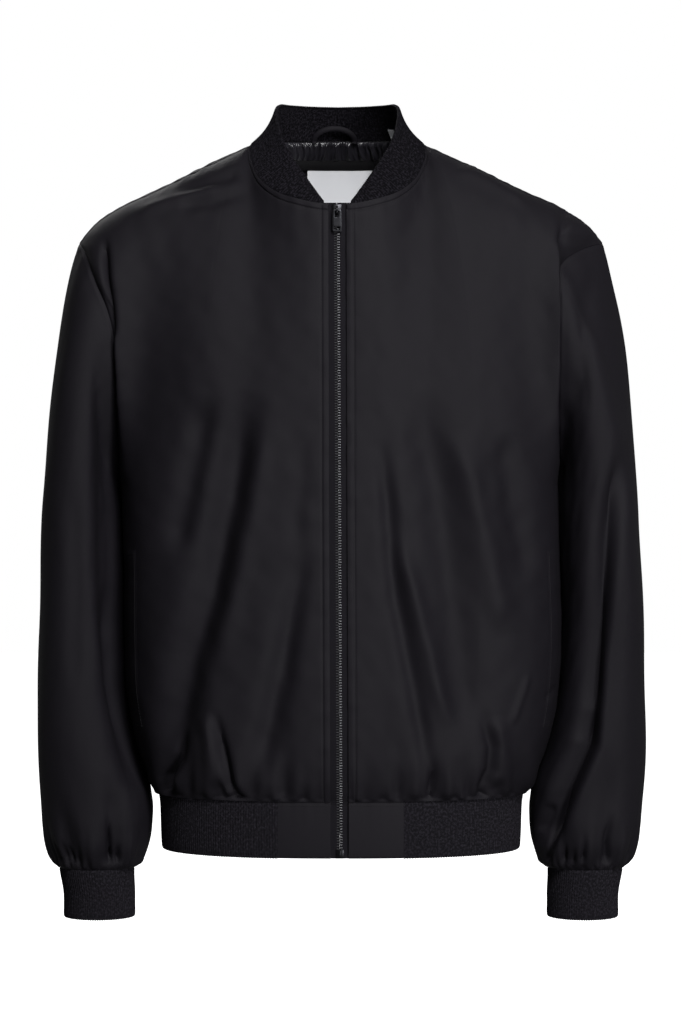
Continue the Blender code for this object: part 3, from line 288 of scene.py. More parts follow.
SLEEVE_CREASES = {
    (Hand.RIGHT, Face.FRONT): creases(
        (278, -317, 256, -458, 248, -573, 245, -594, 229, -630, 6, 2.6),
        (228, -632, 214, -662, 207, -686, 205, -712, 3.6, 4.4),
        (203, -655, 194, -685, 3.6, 3.4),
        (239, -680, 238, -709, 2.4, 3.6),
        (220, -690, 220, -711, 2.2, 3),
        (230, -696, 229, -712, 2, 2.4),
        (253, -122, 243, -161, 237, -210, 8, 1.4),
        (268, -662, 262, -690, 263, -712, 3, 3),
    ),
    (Hand.RIGHT, Face.BACK): creases(
        (252, -260, 262, -400, 253, -560, 6, 2),
        (240, -640, 243, -670, 236, -712, 4.2, 2.2),
        (270, -670, 266, -711, 3.6, 1.6),
        (214, -672, 219, -709, 3.6, 1.6),
    ),
    (Hand.LEFT, Face.FRONT): creases(
        (-228, -662, -227, -692, -227.5, -712, 2.2, 4.2),
        (-286, -684, -279, -712, 2.2, 3.4),
        (-279, -686, -273, -712, 2.2, 3.4),
        (-272, -696, -266, -713, 2, 2.8),
        (-218, -694, -219, -712, 2, 3),
        (-256, -690, -258, -712, 3.4, 1.4),
        (-262, -340, -257, -430, -261, -540, 9, 1.2),
    ),
    (Hand.LEFT, Face.BACK): creases(
        (-248, -280, -260, -420, -252, -560, 6, 2),
        (-252, -650, -247, -680, -251, -712, 4.2, 2.2),
        (-274, -676, -270, -711, 3.6, 1.6),
        (-221, -668, -226, -710, 3.6, 1.6),
    ),
}


# ---- small tools --------------------------------------------------------------------------------
def smooth_step(share: Array | float) -> Array:
    """Eases from 0 to 1 over the unit interval.

    Args:
        share: Where to read it; values outside 0 to 1 are held at the ends.

    Returns:
        The eased values.
    """
    share = np.clip(share, 0.0, 1.0)
    return share * share * (3.0 - 2.0 * share)


def path_weights(t: Array) -> tuple[Array, Array, Array, Array]:
    """How much a smooth path's first place, first way, last place and last way count at a share of it."""
    return 2 * t**3 - 3 * t**2 + 1, t**3 - 2 * t**2 + t, 3 * t**2 - 2 * t**3, t**3 - t**2


def smooth_table(at: Array | float, knots: Sequence[float], values: Sequence[float]) -> Array:
    """Reads a smooth curve through a table.

    Args:
        at: Where to read the curve.
        knots: The table's rising places.
        values: The table's values.

    Returns:
        The curve's values.
    """
    knots = np.asarray(knots, float)
    values = np.asarray(values, float)
    slopes = np.gradient(values, knots)
    at = np.clip(np.asarray(at, float), knots[0], knots[-1])
    index = np.clip(np.searchsorted(knots, at, side="right") - 1, 0, len(knots) - 2)
    span = knots[index + 1] - knots[index]
    near, leaving, far, arriving = path_weights((at - knots[index]) / span)
    first = near * values[index] + leaving * span * slopes[index]
    return first + far * values[index + 1] + arriving * span * slopes[index + 1]


def column(table: Sequence[NamedTuple], name: str) -> list[float]:
    """One named column of a table."""
    return [getattr(row, name) for row in table]


def by_height(table: Sequence[NamedTuple], name: str, height: Array) -> Array:
    """A table's column read at a height; its rows run downwards."""
    return smooth_table(-np.asarray(height), [-row.height for row in table], column(table, name))


def shares_along(points: Sequence[Sequence[float]]) -> tuple[Array, float]:
    """Measures a run of points.

    Args:
        points: The run.

    Returns:
        Each point's share of the length, and the length.
    """
    lengths = np.linalg.norm(np.diff(np.asarray(points), axis=0), axis=1)
    along = np.concatenate([[0.0], np.cumsum(lengths)])
    return along / along[-1], float(along[-1])


def hermite(t: Array, start: Array, start_way: Array, end: Array, end_way: Array) -> Array:
    """Joins two places along a smooth path.

    Args:
        t: The share of the way.
        start: The first place.
        start_way: The way in which the path leaves.
        end: The last place.
        end_way: The way in which the path arrives.

    Returns:
        The places on the path.
    """
    near, leaving, far, arriving = path_weights(t[..., None])
    return near * start + leaving * start_way + far * end + arriving * end_way


def unit(vectors: Array) -> Array:
    """The same vectors at a length of one."""
    return vectors / np.maximum(np.linalg.norm(vectors, axis=-1, keepdims=True), 1e-12)


def turned_to(normals: Array, ways: Array) -> Array:
    """The normals, turned round where they point against the given ways."""
    return normals * np.where((normals * ways).sum(-1, keepdims=True) < 0, -1.0, 1.0)


def squared(value: Array, power: float) -> Array:
    """A sine or cosine bent towards a squarer section, with its sign kept."""
    return np.sign(value) * np.abs(value) ** power


def run_lengths(places: Array, axis: int) -> Array:
    """Lengths along the rows or columns of a grid of places.

    Args:
        places: Rows by columns by three.
        axis: 0 to measure down the columns, 1 to measure along the rows.

    Returns:
        Each place's distance from the start of its row or column.
    """
    steps = np.linalg.norm(np.diff(places, axis=axis), axis=-1)
    start = np.zeros_like(np.take(steps, [0], axis=axis))
    return np.concatenate([start, np.cumsum(steps, axis=axis)], axis=axis)


def spaced(length: float, step: float, fine: float, reach: float, start: bool, end: bool) -> Array:
    """Shares of a length that lie close together near seams and further apart elsewhere.

    Args:
        length: The real length, in metres.
        step: The wide spacing.
        fine: The close spacing.
        reach: How far from a seam the close spacing holds.
        start: Whether there is a seam at the start.
        end: Whether there is a seam at the end.

    Returns:
        Rising shares from 0 to 1.
    """
    low = np.arange(0.0, reach, fine) if start else np.array([0.0])
    high = length - (np.arange(0.0, reach, fine)[::-1] if end else np.array([0.0]))
    count = max(2, round((high[0] - low[-1]) / step))
    middle = np.linspace(low[-1], high[0], count + 1)[1:-1]
    return np.concatenate([low, middle, high]) / length


def waves(along: Array, wavelength: float, seed: int, count: int = 4) -> Array:
    """Uneven waves along a seam.

    Args:
        along: The distance along it.
        wavelength: The usual distance between waves.
        seed: Picks the waves.
        count: How many waves are added up.

    Returns:
        Values from about -1 to 1.
    """
    random = np.random.default_rng(seed)
    total = np.zeros_like(along)
    for _ in range(count):
        pitch = wavelength * random.uniform(0.62, 1.7)
        total = total + np.sin(2 * math.pi * along / pitch + random.uniform(0, 6.283))
    return total / math.sqrt(2.0 * count)


def unevenness(across: Array, down: Array, wavelength: float, lengthwise: float, seed: int) -> Array:
    """Soft random hollows and swells, longer down the cloth than across it.

    Args:
        across: Distance across the cloth.
        down: Distance down it.
        wavelength: The usual distance between swells, across.
        lengthwise: How many times longer they are downwards.
        seed: Picks the swells.

    Returns:
        Values from about -1 to 1.
    """
    random = np.random.default_rng(seed)
    total = np.zeros_like(across)
    count = 18
    for _ in range(count):
        angle = random.uniform(0, math.pi)
        pitch = wavelength * random.uniform(0.6, 1.9)
        phase = across * math.cos(angle) + down * math.sin(angle) / lengthwise
        total = total + np.sin(2 * math.pi * phase / pitch + random.uniform(0, 6.283))
    return total / math.sqrt(count / 2.0) / 1.6


def crease_depths(places: Array, folds: Sequence[Crease]) -> Array:
    """How deep folds and creases press the cloth in.

    Args:
        places: Places on the smooth form.
        folds: The folds and creases, as they are seen from the front or from behind.

    Returns:
        A depth for each place.
    """
    depth = np.zeros(places.shape[:2])
    flat = places[..., [0, 2]]
    for crease in folds:
        points = np.array(crease.places)
        share, length = shares_along(points)
        nearest = np.full(depth.shape, 9.0)
        along = np.zeros(depth.shape)
        for index in range(len(points) - 1):
            way = points[index + 1] - points[index]
            t = np.clip(((flat - points[index]) @ way) / (way @ way), 0.0, 1.0)
            distance = np.linalg.norm(flat - points[index] - t[..., None] * way, axis=-1)
            closer = distance < nearest
            nearest = np.where(closer, distance, nearest)
            along = np.where(closer, share[index] + t * (share[index + 1] - share[index]), along)
        seam = CUFF_REACH if abs(points[-1, 0]) > SLEEVE_BESIDE else HEM_REACH
        taper = smooth_step(along / 0.25 + 0.15) * smooth_step((1.0 - along) / 0.22 + 0.15)
        if points[-1, 1] < seam:
            taper = smooth_step(along / min(1.0, 0.020 / length + 0.25))
        depth += crease.depth * taper * np.exp(-((nearest / crease.width) ** 2))
    return depth


def seam_relief(distance: Array, stitch_at: float, swell: float = 0.0005) -> Array:
    """The low welt between a seam and its topstitching, with a groove under each.

    Args:
        distance: How far a place is from the seam.
        stitch_at: How far the topstitching is from the seam.
        swell: How high the welt stands.

    Returns:
        A depth for each place, negative on the welt.
    """
    welt = smooth_step(distance / 0.0022) * smooth_step((stitch_at - distance) / 0.0016)
    groove = np.exp(-(((distance - stitch_at) / 0.0010) ** 2))
    return -swell * welt + 0.0007 * groove


# ---- the forms ----------------------------------------------------------------------------------
@dataclass(frozen=True)
class BodyForm:
    """The smooth surface of the jacket's body, before any fold."""

    squareness: float = 2.4
    underarm: float = -0.3400
    hem_seam: float = -0.6465
    hem_bottom: float = -0.7010
    seam_gap: float = 0.0002
    neck_shift: float = -0.0035
    zip_top: float = -0.0725
    zip_top_side: float = -0.0040
    zip_bottom_side: float = -0.0012
    zip_opening_half: float = 0.0088
    yoke_share: float = 9 / 19
    shoulder_tilt: float = 0.22
    edge_softness: float = 0.0035
    nominal_width: float = 0.26

    def zip_side(self, height: Array | float) -> Array:
        """The sideways place of the zip's centre line at a height."""
        share = np.clip((np.asarray(height) - self.zip_top) / (self.hem_bottom - self.zip_top), 0.0, 1.0)
        return self.zip_top_side + (self.zip_bottom_side - self.zip_top_side) * share

    def neck_places(self, face: Face) -> list[tuple[float, float, float]]:
        """Half of the neck seam, from the centre to the high shoulder point."""
        if face is Face.FRONT:
            return [(n.side, n.depth, n.height) for n in NECKLINE[: HIGH_SHOULDER + 1]]
        return [(n.side, n.depth, n.height) for n in NECKLINE[HIGH_SHOULDER:]][::-1]

    def neck_share(self, face: Face) -> float:
        """The share of a panel's top edge that is neck seam."""
        neck = shares_along(self.neck_places(face))[1]
        return neck / (neck + shares_along(SHOULDER)[1])

    def top_edge(self, share: Array, face: Face) -> tuple[Array, Array]:
        """Places on the neck seam and the shoulder seam.

        Args:
            share: The share of the way from the centre to the side.
            face: Which panel's edge.

        Returns:
            The places, and how far along the shoulder each is.
        """
        corner = self.neck_share(face)
        neck = self.neck_places(face)
        on_neck = np.clip(share / corner, 0.0, 1.0)
        on_shoulder = np.clip((share - corner) / (1.0 - corner), 0.0, 1.0)
        axes = []
        for axis in range(3):
            near = smooth_table(on_neck, shares_along(neck)[0], [p[axis] for p in neck])
            far = smooth_table(on_shoulder, shares_along(SHOULDER)[0], [p[axis] for p in SHOULDER])
            axes.append(np.where(share <= corner, near, far))
        return np.stack(axes, axis=-1), on_shoulder

    def leaving(self, share: Array, face: Face) -> Array:
        """The way in which the cloth leaves its top edge.

        Args:
            share: The share of the way from the centre to the side.
            face: Which panel.

        Returns:
            A way for each share; along the shoulder both panels share one plane.
        """
        table = LEAVE_FRONT if face is Face.FRONT else LEAVE_BACK
        corner = self.neck_share(face)
        knots = column(table, "share")
        names = ("out", "forward", "down")
        out, forward, down = (smooth_table(share, knots, column(table, name)) for name in names)
        way = np.stack([out, -forward, -down], axis=-1)
        step = 1e-3
        low = np.clip(share - step, corner + 1e-6, 1.0)
        high = np.clip(share + step, corner + 2 * step, 1.0)
        low = np.minimum(low, high - step)
        along = unit(self.top_edge(high, face)[0] - self.top_edge(low, face)[0])
        across = unit(np.array([0.0, -1.0, -self.shoulder_tilt]) * np.ones_like(way))
        normal = unit(np.cross(along, across))
        flat = way - (way * normal).sum(-1, keepdims=True) * normal
        beside = smooth_step((share - corner + 0.10) / 0.10)[..., None]
        return way + (flat - way) * beside

    def half_width(self, height: Array, hand: Hand) -> Array:
        """The body's half width at a height, on one hand."""
        return by_height(BODY, "left" if hand is Hand.LEFT else "right", height)

    def level_place(self, share: Array, height: Array, hand: Hand, face: Face) -> Array:
        """Places on the body's level section.

        Args:
            share: The share of the way from the centre to the side seam.
            height: The height of each place.
            hand: Which half.
            face: Front or back.

        Returns:
            The places, all at +X.
        """
        width = self.half_width(height, hand)
        is_front = face is Face.FRONT
        depth = by_height(BODY, "front" if is_front else "back", height)
        start_side = self.zip_side(height) * hand.value + self.zip_opening_half if is_front else 0.0 * height
        power = 2 / self.squareness
        start = np.arcsin((start_side / width) ** (1 / power))
        warped = share * (0.75 + 0.25 * share)
        angle = start + (math.pi / 2 - start) * warped
        side = width * np.sin(angle) ** power
        reach = depth * np.maximum(np.cos(angle), 0.0) ** power
        return np.stack([side, -reach if is_front else reach, height + 0.0 * side], axis=-1)

    def place(self, share: Array, down: Array, hand: Hand, face: Face) -> Array:
        """Places on the smooth form, eased sideways so that no corner of the neck seam runs down it.

        Args:
            share: The share of the way from the centre to the side.
            down: The share of the way from the top edge to the hem seam.
            hand: Which half.
            face: Front or back.

        Returns:
            The places.
        """
        share = np.asarray(share, float)
        down = np.asarray(down, float)
        reach = 0.075 * smooth_step(down / 0.10) * smooth_step((self.yoke_share - down) / 0.06)
        reach = np.minimum(reach, np.minimum(share, 1.0 - share))
        total = 3.0 * self.plain_place(share, down, hand, face)
        for step, weight in ((0.33, 2.5), (0.67, 1.6), (1.0, 0.7)):
            for way in (-1.0, 1.0):
                total = total + weight * self.plain_place(share + way * step * reach, down, hand, face)
        return self.over_sleeve(total / 12.6, down, hand) if face is Face.FRONT else total / 12.6

    def over_sleeve(self, places: Array, down: Array, hand: Hand) -> Array:
        """Folds the side of a front back in a steep edge, where it hangs over the sleeve.

        Args:
            places: Places on a front.
            down: Their shares of the way to the hem seam.
            hand: Which half.

        Returns:
            The places, none of them beyond the edge.
        """
        edge = smooth_table(down / self.yoke_share, [k / 10 for k in range(11)], OVER_SLEEVE[hand])
        excess = np.abs(places[..., 0]) - edge
        back = self.edge_softness * np.logaddexp(0.0, np.clip(excess / self.edge_softness, -40.0, 40.0))
        moved = places.copy()
        moved[..., 0] -= hand.value * back * smooth_step(down / 0.02)
        return moved

    def plain_place(self, share: Array, down: Array, hand: Hand, face: Face) -> Array:
        """Places on the form as the tables give it.

        Args:
            share: The share of the way from the centre to the side.
            down: The share of the way from the top edge to the hem seam.
            hand: Which half.
            face: Front or back.

        Returns:
            The places.
        """
        on_yoke = np.clip(down / self.yoke_share, 0.0, 1.0)
        on_body = np.clip((down - self.yoke_share) / (1.0 - self.yoke_share), 0.0, 1.0)
        start, on_shoulder = self.top_edge(share, face)
        shift = self.neck_shift * hand.value * (1 - on_shoulder)
        start = start + np.array([1.0, 0, 0]) * shift[..., None]
        level = np.full(share.shape, self.underarm)
        end = self.level_place(share, level, hand, face)
        turn = smooth_step((share - 0.7) / 0.3)
        facing = 1.0 if face is Face.FRONT else -1.0
        end_way = np.stack([-0.01 * turn, facing * (0.21 * turn - 0.01), -0.30 + 0.06 * turn], axis=-1)
        yoke = hermite(on_yoke, start, self.leaving(share, face), end, end_way)
        height = self.underarm + (self.hem_seam + self.seam_gap - self.underarm) * on_body
        lower = self.level_place(share, height, hand, face)
        found = np.where((down <= self.yoke_share)[..., None], yoke, lower)
        return found * np.array([hand.value, 1.0, 1.0])

    def normals(self, share: Array, down: Array, hand: Hand, face: Face) -> Array:
        """Outward unit normals of the smooth form.

        Args:
            share: As for place.
            down: As for place.
            hand: As for place.
            face: As for place.

        Returns:
            A normal for each place.
        """
        step = 4e-4
        wide = self.place(np.clip(share + step, 0, 1), down, hand, face)
        narrow = self.place(np.clip(share - step, 0, 1), down, hand, face)
        lower = self.place(share, np.clip(down + step, 0, 1), hand, face)
        upper = self.place(share, np.clip(down - step, 0, 1), hand, face)
        normal = unit(np.cross(wide - narrow, lower - upper))
        outward = self.place(share, down, hand, face) * np.array([1.0, 1.0, 0.0])
        outward[..., 2] = 0.06
        return turned_to(normal, outward)


@dataclass(frozen=True)
class SleeveForm:
    """The smooth surface of a sleeve, before any fold."""

    body: BodyForm
    squareness: float = 2.2
    clearance: float = -0.0004
    hang_from: float = -0.622
    hang_over: float = 0.030
    setback: float = 0.003
    ring_height: float = -0.3700
    cuff_seam: float = -0.7215
    cap_share: float = 5 / 17

    def level_place(self, around: Array, height: Array, hand: Hand) -> Array:
        """Places on the sleeve's level section.

        Args:
            around: The share of the way round, from the outside over the front.
            height: The height of each place.
            hand: Which sleeve.

        Returns:
            The places, all at +X.
        """
        outer = by_height(SLEEVE, "outer", height)
        beside = self.body.half_width(np.maximum(height, self.body.hem_seam), hand) + self.clearance
        hanging = np.maximum(by_height(SLEEVE, "inner", height), beside - 0.02)
        blend = smooth_step((self.hang_from - height) / self.hang_over)
        inner = beside * (1 - blend) + hanging * blend
        angle = around * 2 * math.pi
        cosine, sine = np.cos(angle), np.sin(angle)
        power = 2 / self.squareness
        depth = np.where(sine > 0, by_height(SLEEVE, "front", height), by_height(SLEEVE, "back", height))
        side = (outer + inner) / 2 + (outer - inner) / 2 * squared(cosine, power)
        reach = -depth * squared(sine, power) + self.setback
        return np.stack([side, reach, height + 0.0 * side], axis=-1)

    def armhole(self, around: Array, hand: Hand) -> Array:
        """The body's armhole edge, at +X, by share round it from the shoulder over the front."""
        ones = np.ones(around.shape)
        yoke = self.body.yoke_share
        front = self.body.place(ones, np.clip(2 * around, 0, 1) * yoke, hand, Face.FRONT)
        back = self.body.place(ones, np.clip(2 * (1 - around), 0, 1) * yoke, hand, Face.BACK)
        return np.where((around <= 0.5)[..., None], front, back) * np.array([hand.value, 1.0, 1.0])

    def place(self, around: Array, down: Array, hand: Hand) -> Array:
        """Places on the smooth sleeve.

        Args:
            around: The share of the way round.
            down: The share of the way from the armhole to the cuff seam.
            hand: Which sleeve.

        Returns:
            The places.
        """
        down = np.asarray(down, float)
        on_cap = np.clip(down / self.cap_share, 0.0, 1.0)
        on_arm = np.clip((down - self.cap_share) / (1.0 - self.cap_share), 0.0, 1.0)
        around = np.mod(np.asarray(around, float), 1.0)
        start = self.armhole(around, hand)
        end = self.level_place(around, np.full(around.shape, self.ring_height), hand)
        fall = start[..., 2] - self.ring_height
        angle = around * 2 * math.pi
        outside = (1 + np.cos(angle)) / 2
        flank = np.abs(np.sin(angle))
        out = 0.04 * outside + 0.07 * flank + 0.002
        start_way = np.stack([out, -0.035 * np.sin(angle), -fall * (0.34 - 0.14 * flank)], axis=-1)
        end_way = np.stack([0.012 * outside, 0 * fall, -fall], axis=-1)
        cap = hermite(on_cap, start, start_way, end, end_way)
        height = self.ring_height + (self.cuff_seam - self.ring_height) * on_arm**0.93
        lower = self.level_place(around, height, hand)
        found = np.where((down <= self.cap_share)[..., None], cap, lower)
        return found * np.array([hand.value, 1.0, 1.0])

    def normals(self, around: Array, down: Array, hand: Hand) -> Array:
        """Outward unit normals of the smooth sleeve.

        Args:
            around: As for place.
            down: As for place.
            hand: As for place.

        Returns:
            A normal for each place.
        """
        step = 4e-4
        wide = self.place(around + step, down, hand) - self.place(around - step, down, hand)
        long = self.place(around, np.clip(down + step, 0, 1), hand)
        long = long - self.place(around, np.clip(down - step, 0, 1), hand)
        normal = unit(np.cross(wide, long))
        places = self.place(around, down, hand)
        middle = places.mean(axis=1, keepdims=True)
        outward = (places - middle) * np.array([1.0, 1.0, 0.0])
        outward[..., 2] = 0.02 * (1 - np.clip(down / self.cap_share, 0, 1))
        return turned_to(normal, outward)


# ---- meshes -------------------------------------------------------------------------------------
def from_edit(name: str, edit: bmesh.types.BMesh, sharp: float | None = 40) -> bpy.types.Mesh:
    """Turns an editable mesh into a real one.

    Args:
        name: The mesh's name.
        edit: The editable mesh, which is freed.
        sharp: The angle in degrees from which edges stay sharp; None leaves the faces flat.

    Returns:
        The mesh.
    """
    mesh = bpy.data.meshes.new(name)
    edit.to_mesh(mesh)
    edit.free()
    if sharp is not None:
        mesh.shade_smooth()
        mesh.set_sharp_from_angle(angle=math.radians(sharp))
    return mesh


def outward(
    name: str, points: Array, faces: Sequence, sharp: float, slots: Array | None = None
) -> bpy.types.Mesh:
    """A smooth closed mesh whose faces point outwards.

    Args:
        name: The mesh's name.
        points: Its vertices.
        faces: Their numbers, face by face.
        sharp: The angle in degrees from which edges stay sharp.
        slots: Each face's material number, where there is more than one.

    Returns:
        The mesh.
    """
    mesh = bpy.data.meshes.new(name)
    mesh.from_pydata(points.tolist(), [], faces)
    if slots is not None:
        mesh.polygons.foreach_set("material_index", slots)
    edit = bmesh.new()
    edit.from_mesh(mesh)
    bpy.data.meshes.remove(mesh)
    bmesh.ops.recalc_face_normals(edit, faces=edit.faces)
    return from_edit(name, edit, sharp)


def shell_mesh(name: str, outer: Array, inner: Array, cloth: Array, around: bool = False) -> bpy.types.Mesh:
    """A closed thin shell between two grids; its inner faces take the second material.

    Args:
        name: The mesh's name.
        outer: Outer places, rows by columns.
        inner: Inner places, the same size.
        cloth: Distances across and down the cloth for each place, in metres.
        around: Whether the last column joins the first.

    Returns:
        The mesh, with a UV map of the cloth's own distances.
    """
    rows, columns = outer.shape[:2]
    other = rows * columns
    starts = np.arange(columns if around else columns - 1)
    ends = (starts + 1) % columns
    tops = np.arange(rows - 1)[:, None] * columns
    outside = np.stack([tops + starts, tops + ends, tops + columns + ends, tops + columns + starts], -1)
    outside = outside.reshape(-1, 4)
    rims = []
    for edge in (0, (rows - 1) * columns):
        rims.append(np.stack([edge + starts, other + edge + starts, other + edge + ends, edge + ends], -1))
    for edge in () if around else (0, columns - 1):
        upper = edge + np.arange(rows - 1) * columns
        rims.append(np.stack([upper, upper + columns, other + upper + columns, other + upper], -1))
    faces = np.concatenate([outside, outside[:, ::-1] + other, *rims])
    points = np.concatenate([outer.reshape(-1, 3), inner.reshape(-1, 3)])
    slots = np.zeros(len(faces), np.int32)
    slots[len(outside) : 2 * len(outside)] = 1
    mesh = outward(name, points, faces.tolist(), 62, slots)
    give_cloth_map(mesh, np.concatenate([cloth.reshape(-1, 2)] * 2))
    return mesh


def give_cloth_map(mesh: bpy.types.Mesh, cloth: Array) -> None:
    """Lays the cloth's own distances, in metres for each vertex, on a mesh as its UV map."""
    corners = np.empty(len(mesh.loops), np.int32)
    mesh.loops.foreach_get("vertex_index", corners)
    layer = mesh.uv_layers.new(name="cloth")
    layer.uv.foreach_set("vector", cloth[corners].astype(np.float32).ravel())


def give_values(mesh: bpy.types.Mesh, name: str, kind: str, values: Array) -> None:
    """Writes a named value to each vertex; the kind is FLOAT or FLOAT_VECTOR."""
    layer = mesh.attributes.new(name, kind, "POINT")
    key = "value" if kind == "FLOAT" else "vector"
    layer.data.foreach_set(key, values.astype(np.float32).ravel())


def flat_area(places: Array, around: bool = False) -> float:
    """The area of a grid of places, in square metres; around joins the last column to the first."""
    if around:
        places = np.concatenate([places, places[:, :1]], axis=1)
    across = places[:-1, 1:] - places[:-1, :-1]
    down = places[1:, :-1] - places[:-1, :-1]
    return float(np.linalg.norm(np.cross(across, down), axis=-1).sum())


def bar_mesh(
    points: Array, radius: float, sides: int, flat: tuple[float, float] = (1.0, 1.0)
) -> bpy.types.Mesh:
    """A closed bar along a run of points.

    Args:
        points: The run.
        radius: The bar's radius.
        sides: How many sides it has.
        flat: How much wider it is along each of its own two section axes.

    Returns:
        The mesh.
    """
    ways = unit(np.gradient(points, axis=0))
    first = unit(np.cross(ways, np.array([0.0, 1.0, 0.0])))
    second = unit(np.cross(ways, first))
    angles = np.arange(sides) / sides * 2 * math.pi
    wide, deep = np.cos(angles)[:, None] * flat[0], np.sin(angles)[:, None] * flat[1]
    rings = [p + radius * (a * wide + b * deep) for p, a, b in zip(points, first, second)]
    faces = []
    for low in range(0, (len(points) - 1) * sides, sides):
        for side in range(sides):
            after = (side + 1) % sides
            faces.append((low + side, low + after, low + sides + after, low + sides + side))
    faces.append(tuple(range(sides)))
    faces.append(tuple(range(len(points) * sides - 1, (len(points) - 1) * sides - 1, -1)))
    return outward("bar", np.concatenate(rings), faces, 60)


def rounded_box(
    low: Sequence[float], high: Sequence[float], bevel: float, segments: int = 2
) -> bmesh.types.BMesh:
    """A box between two corners with rounded edges, as an editable mesh.

    Args:
        low: The lowest corner.
        high: The highest corner.
        bevel: How wide the rounding is.
        segments: How many faces each rounding has.

    Returns:
        The editable mesh, which the caller frees.
    """
    made = bmesh.new()
    bmesh.ops.create_cube(made, size=1.0)
    size, middle = np.subtract(high, low), np.add(high, low) / 2
    for vert in made.verts:
        vert.co = [middle[i] + vert.co[i] * size[i] for i in range(3)]
    bmesh.ops.bevel(made, geom=made.edges[:], offset=bevel, segments=segments, profile=0.5, affect="EDGES")
    return made


def join_meshes(name: str, meshes: Sequence[bpy.types.Mesh]) -> bpy.types.Mesh:
    """Gathers several meshes into one and removes them."""
    gathered = bmesh.new()
    for mesh in meshes:
        gathered.from_mesh(mesh)
        bpy.data.meshes.remove(mesh)
    made = bpy.data.meshes.new(name)
    gathered.to_mesh(made)
    gathered.free()
    made.set_sharp_from_angle(angle=math.radians(40))
    return made


def add_object(name: str, data: bpy.types.ID) -> bpy.types.Object:
    """Puts data in the scene as an object."""
    made = bpy.data.objects.new(name, data)
    bpy.context.scene.collection.objects.link(made)
    return made


@dataclass(frozen=True)
class Piece:
    """A piece's name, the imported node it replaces, its material slot, its materials and its body."""

    name: str
    stands_for: str | None
    slot: str
    materials: Sequence[bpy.types.Material]
    body: Body = Body.JACKET

    def make(self, mesh: bpy.types.Mesh, repeat: tuple | None = None) -> bpy.types.Object:
        """Puts the piece in the scene.

        Args:
            mesh: Its mesh, in place.
            repeat: A geometry tree and its values by input name, where one makes the final mesh.

        Returns:
            The finished piece.
        """
        mesh.materials.clear()
        for material in self.materials:
            mesh.materials.append(material)
        piece = add_object(self.name, mesh)
        if repeat:
            settle(piece, *repeat)
        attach(piece, self.body.value)
        if self.stands_for:
            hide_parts(self.stands_for)
        log.info("%s: %d faces", piece.name, len(piece.data.polygons))
        return piece


# ---- node trees ---------------------------------------------------------------------------------
class Nodes:
    """A node tree under construction."""

    def __init__(self, tree: bpy.types.NodeTree) -> None:
        """Starts on an existing tree."""
        self.tree = tree

    def node(self, kind: str, inputs: dict | None = None, **settings: object) -> bpy.types.Node:
        """Adds a node.

        Args:
            kind: The node's type.
            inputs: Sockets to links or plain values, by name or index.
            settings: The node's own settings.

        Returns:
            The node.
        """
        made = self.tree.nodes.new(kind)
        for name, value in settings.items():
            setattr(made, name, value)
        self.feed(made, inputs or {})
        return made

    def feed(self, made: bpy.types.Node, inputs: dict) -> None:
        """Sets or links input sockets of a node, by name or index."""
        for key, value in inputs.items():
            if isinstance(value, bpy.types.NodeSocket):
                self.tree.links.new(value, made.inputs[key])
            else:
                made.inputs[key].default_value = value

    def first(self, kind: str, inputs: dict | None = None, **settings: object) -> bpy.types.NodeSocket:
        """The first output of a new node."""
        return self.node(kind, inputs, **settings).outputs[0]

    def sum(self, operation: str, *values: object) -> bpy.types.NodeSocket:
        """The result of one piece of arithmetic."""
        return self.first("ShaderNodeMath", dict(enumerate(values)), operation=operation)


class Group(Nodes):
    """A node group with named inputs and outputs."""

    def __init__(self, name: str, kind: str, inputs: dict[str, object], outputs: dict[str, str]) -> None:
        """Starts a group.

        Args:
            name: Its name.
            kind: Its tree's type.
            inputs: For each input a kind of socket, or the number that it starts with.
            outputs: For each output a kind of socket.
        """
        super().__init__(bpy.data.node_groups.new(name, kind))
        self.inside = self.tree.nodes.new("NodeGroupInput")
        self.outside = self.tree.nodes.new("NodeGroupOutput")
        for way, sockets in (("INPUT", inputs), ("OUTPUT", outputs)):
            for title, value in sockets.items():
                word = value if isinstance(value, str) else type(value).__name__.capitalize()
                made = self.tree.interface.new_socket(name=title, in_out=way, socket_type=f"NodeSocket{word}")
                if word != value:
                    made.default_value = value

    def given(self, name: str) -> bpy.types.NodeSocket:
        """An input of the group."""
        return self.inside.outputs[name]

    def put_out(self, name: str, value: bpy.types.NodeSocket) -> None:
        """Links a value to an output of the group."""
        self.tree.links.new(value, self.outside.inputs[name])


def settle(made: bpy.types.Object, tree: bpy.types.NodeTree, values: dict[str, object]) -> None:
    """Runs a geometry tree on an object and keeps the plain mesh.

    Args:
        made: The object.
        tree: The tree.
        values: The tree's inputs by their names.
    """
    change = made.modifiers.new(tree.name, "NODES")
    change.node_group = tree
    names = {item.name: item.identifier for item in tree.interface.items_tree if item.in_out == "INPUT"}
    for name, value in values.items():
        change[names[name]] = value
    bpy.context.view_layer.update()
    graph = bpy.context.evaluated_depsgraph_get()
    mesh = bpy.data.meshes.new_from_object(made.evaluated_get(graph), depsgraph=graph)
    made.modifiers.remove(change)
    old = made.data
    made.data = mesh
    bpy.data.meshes.remove(old)


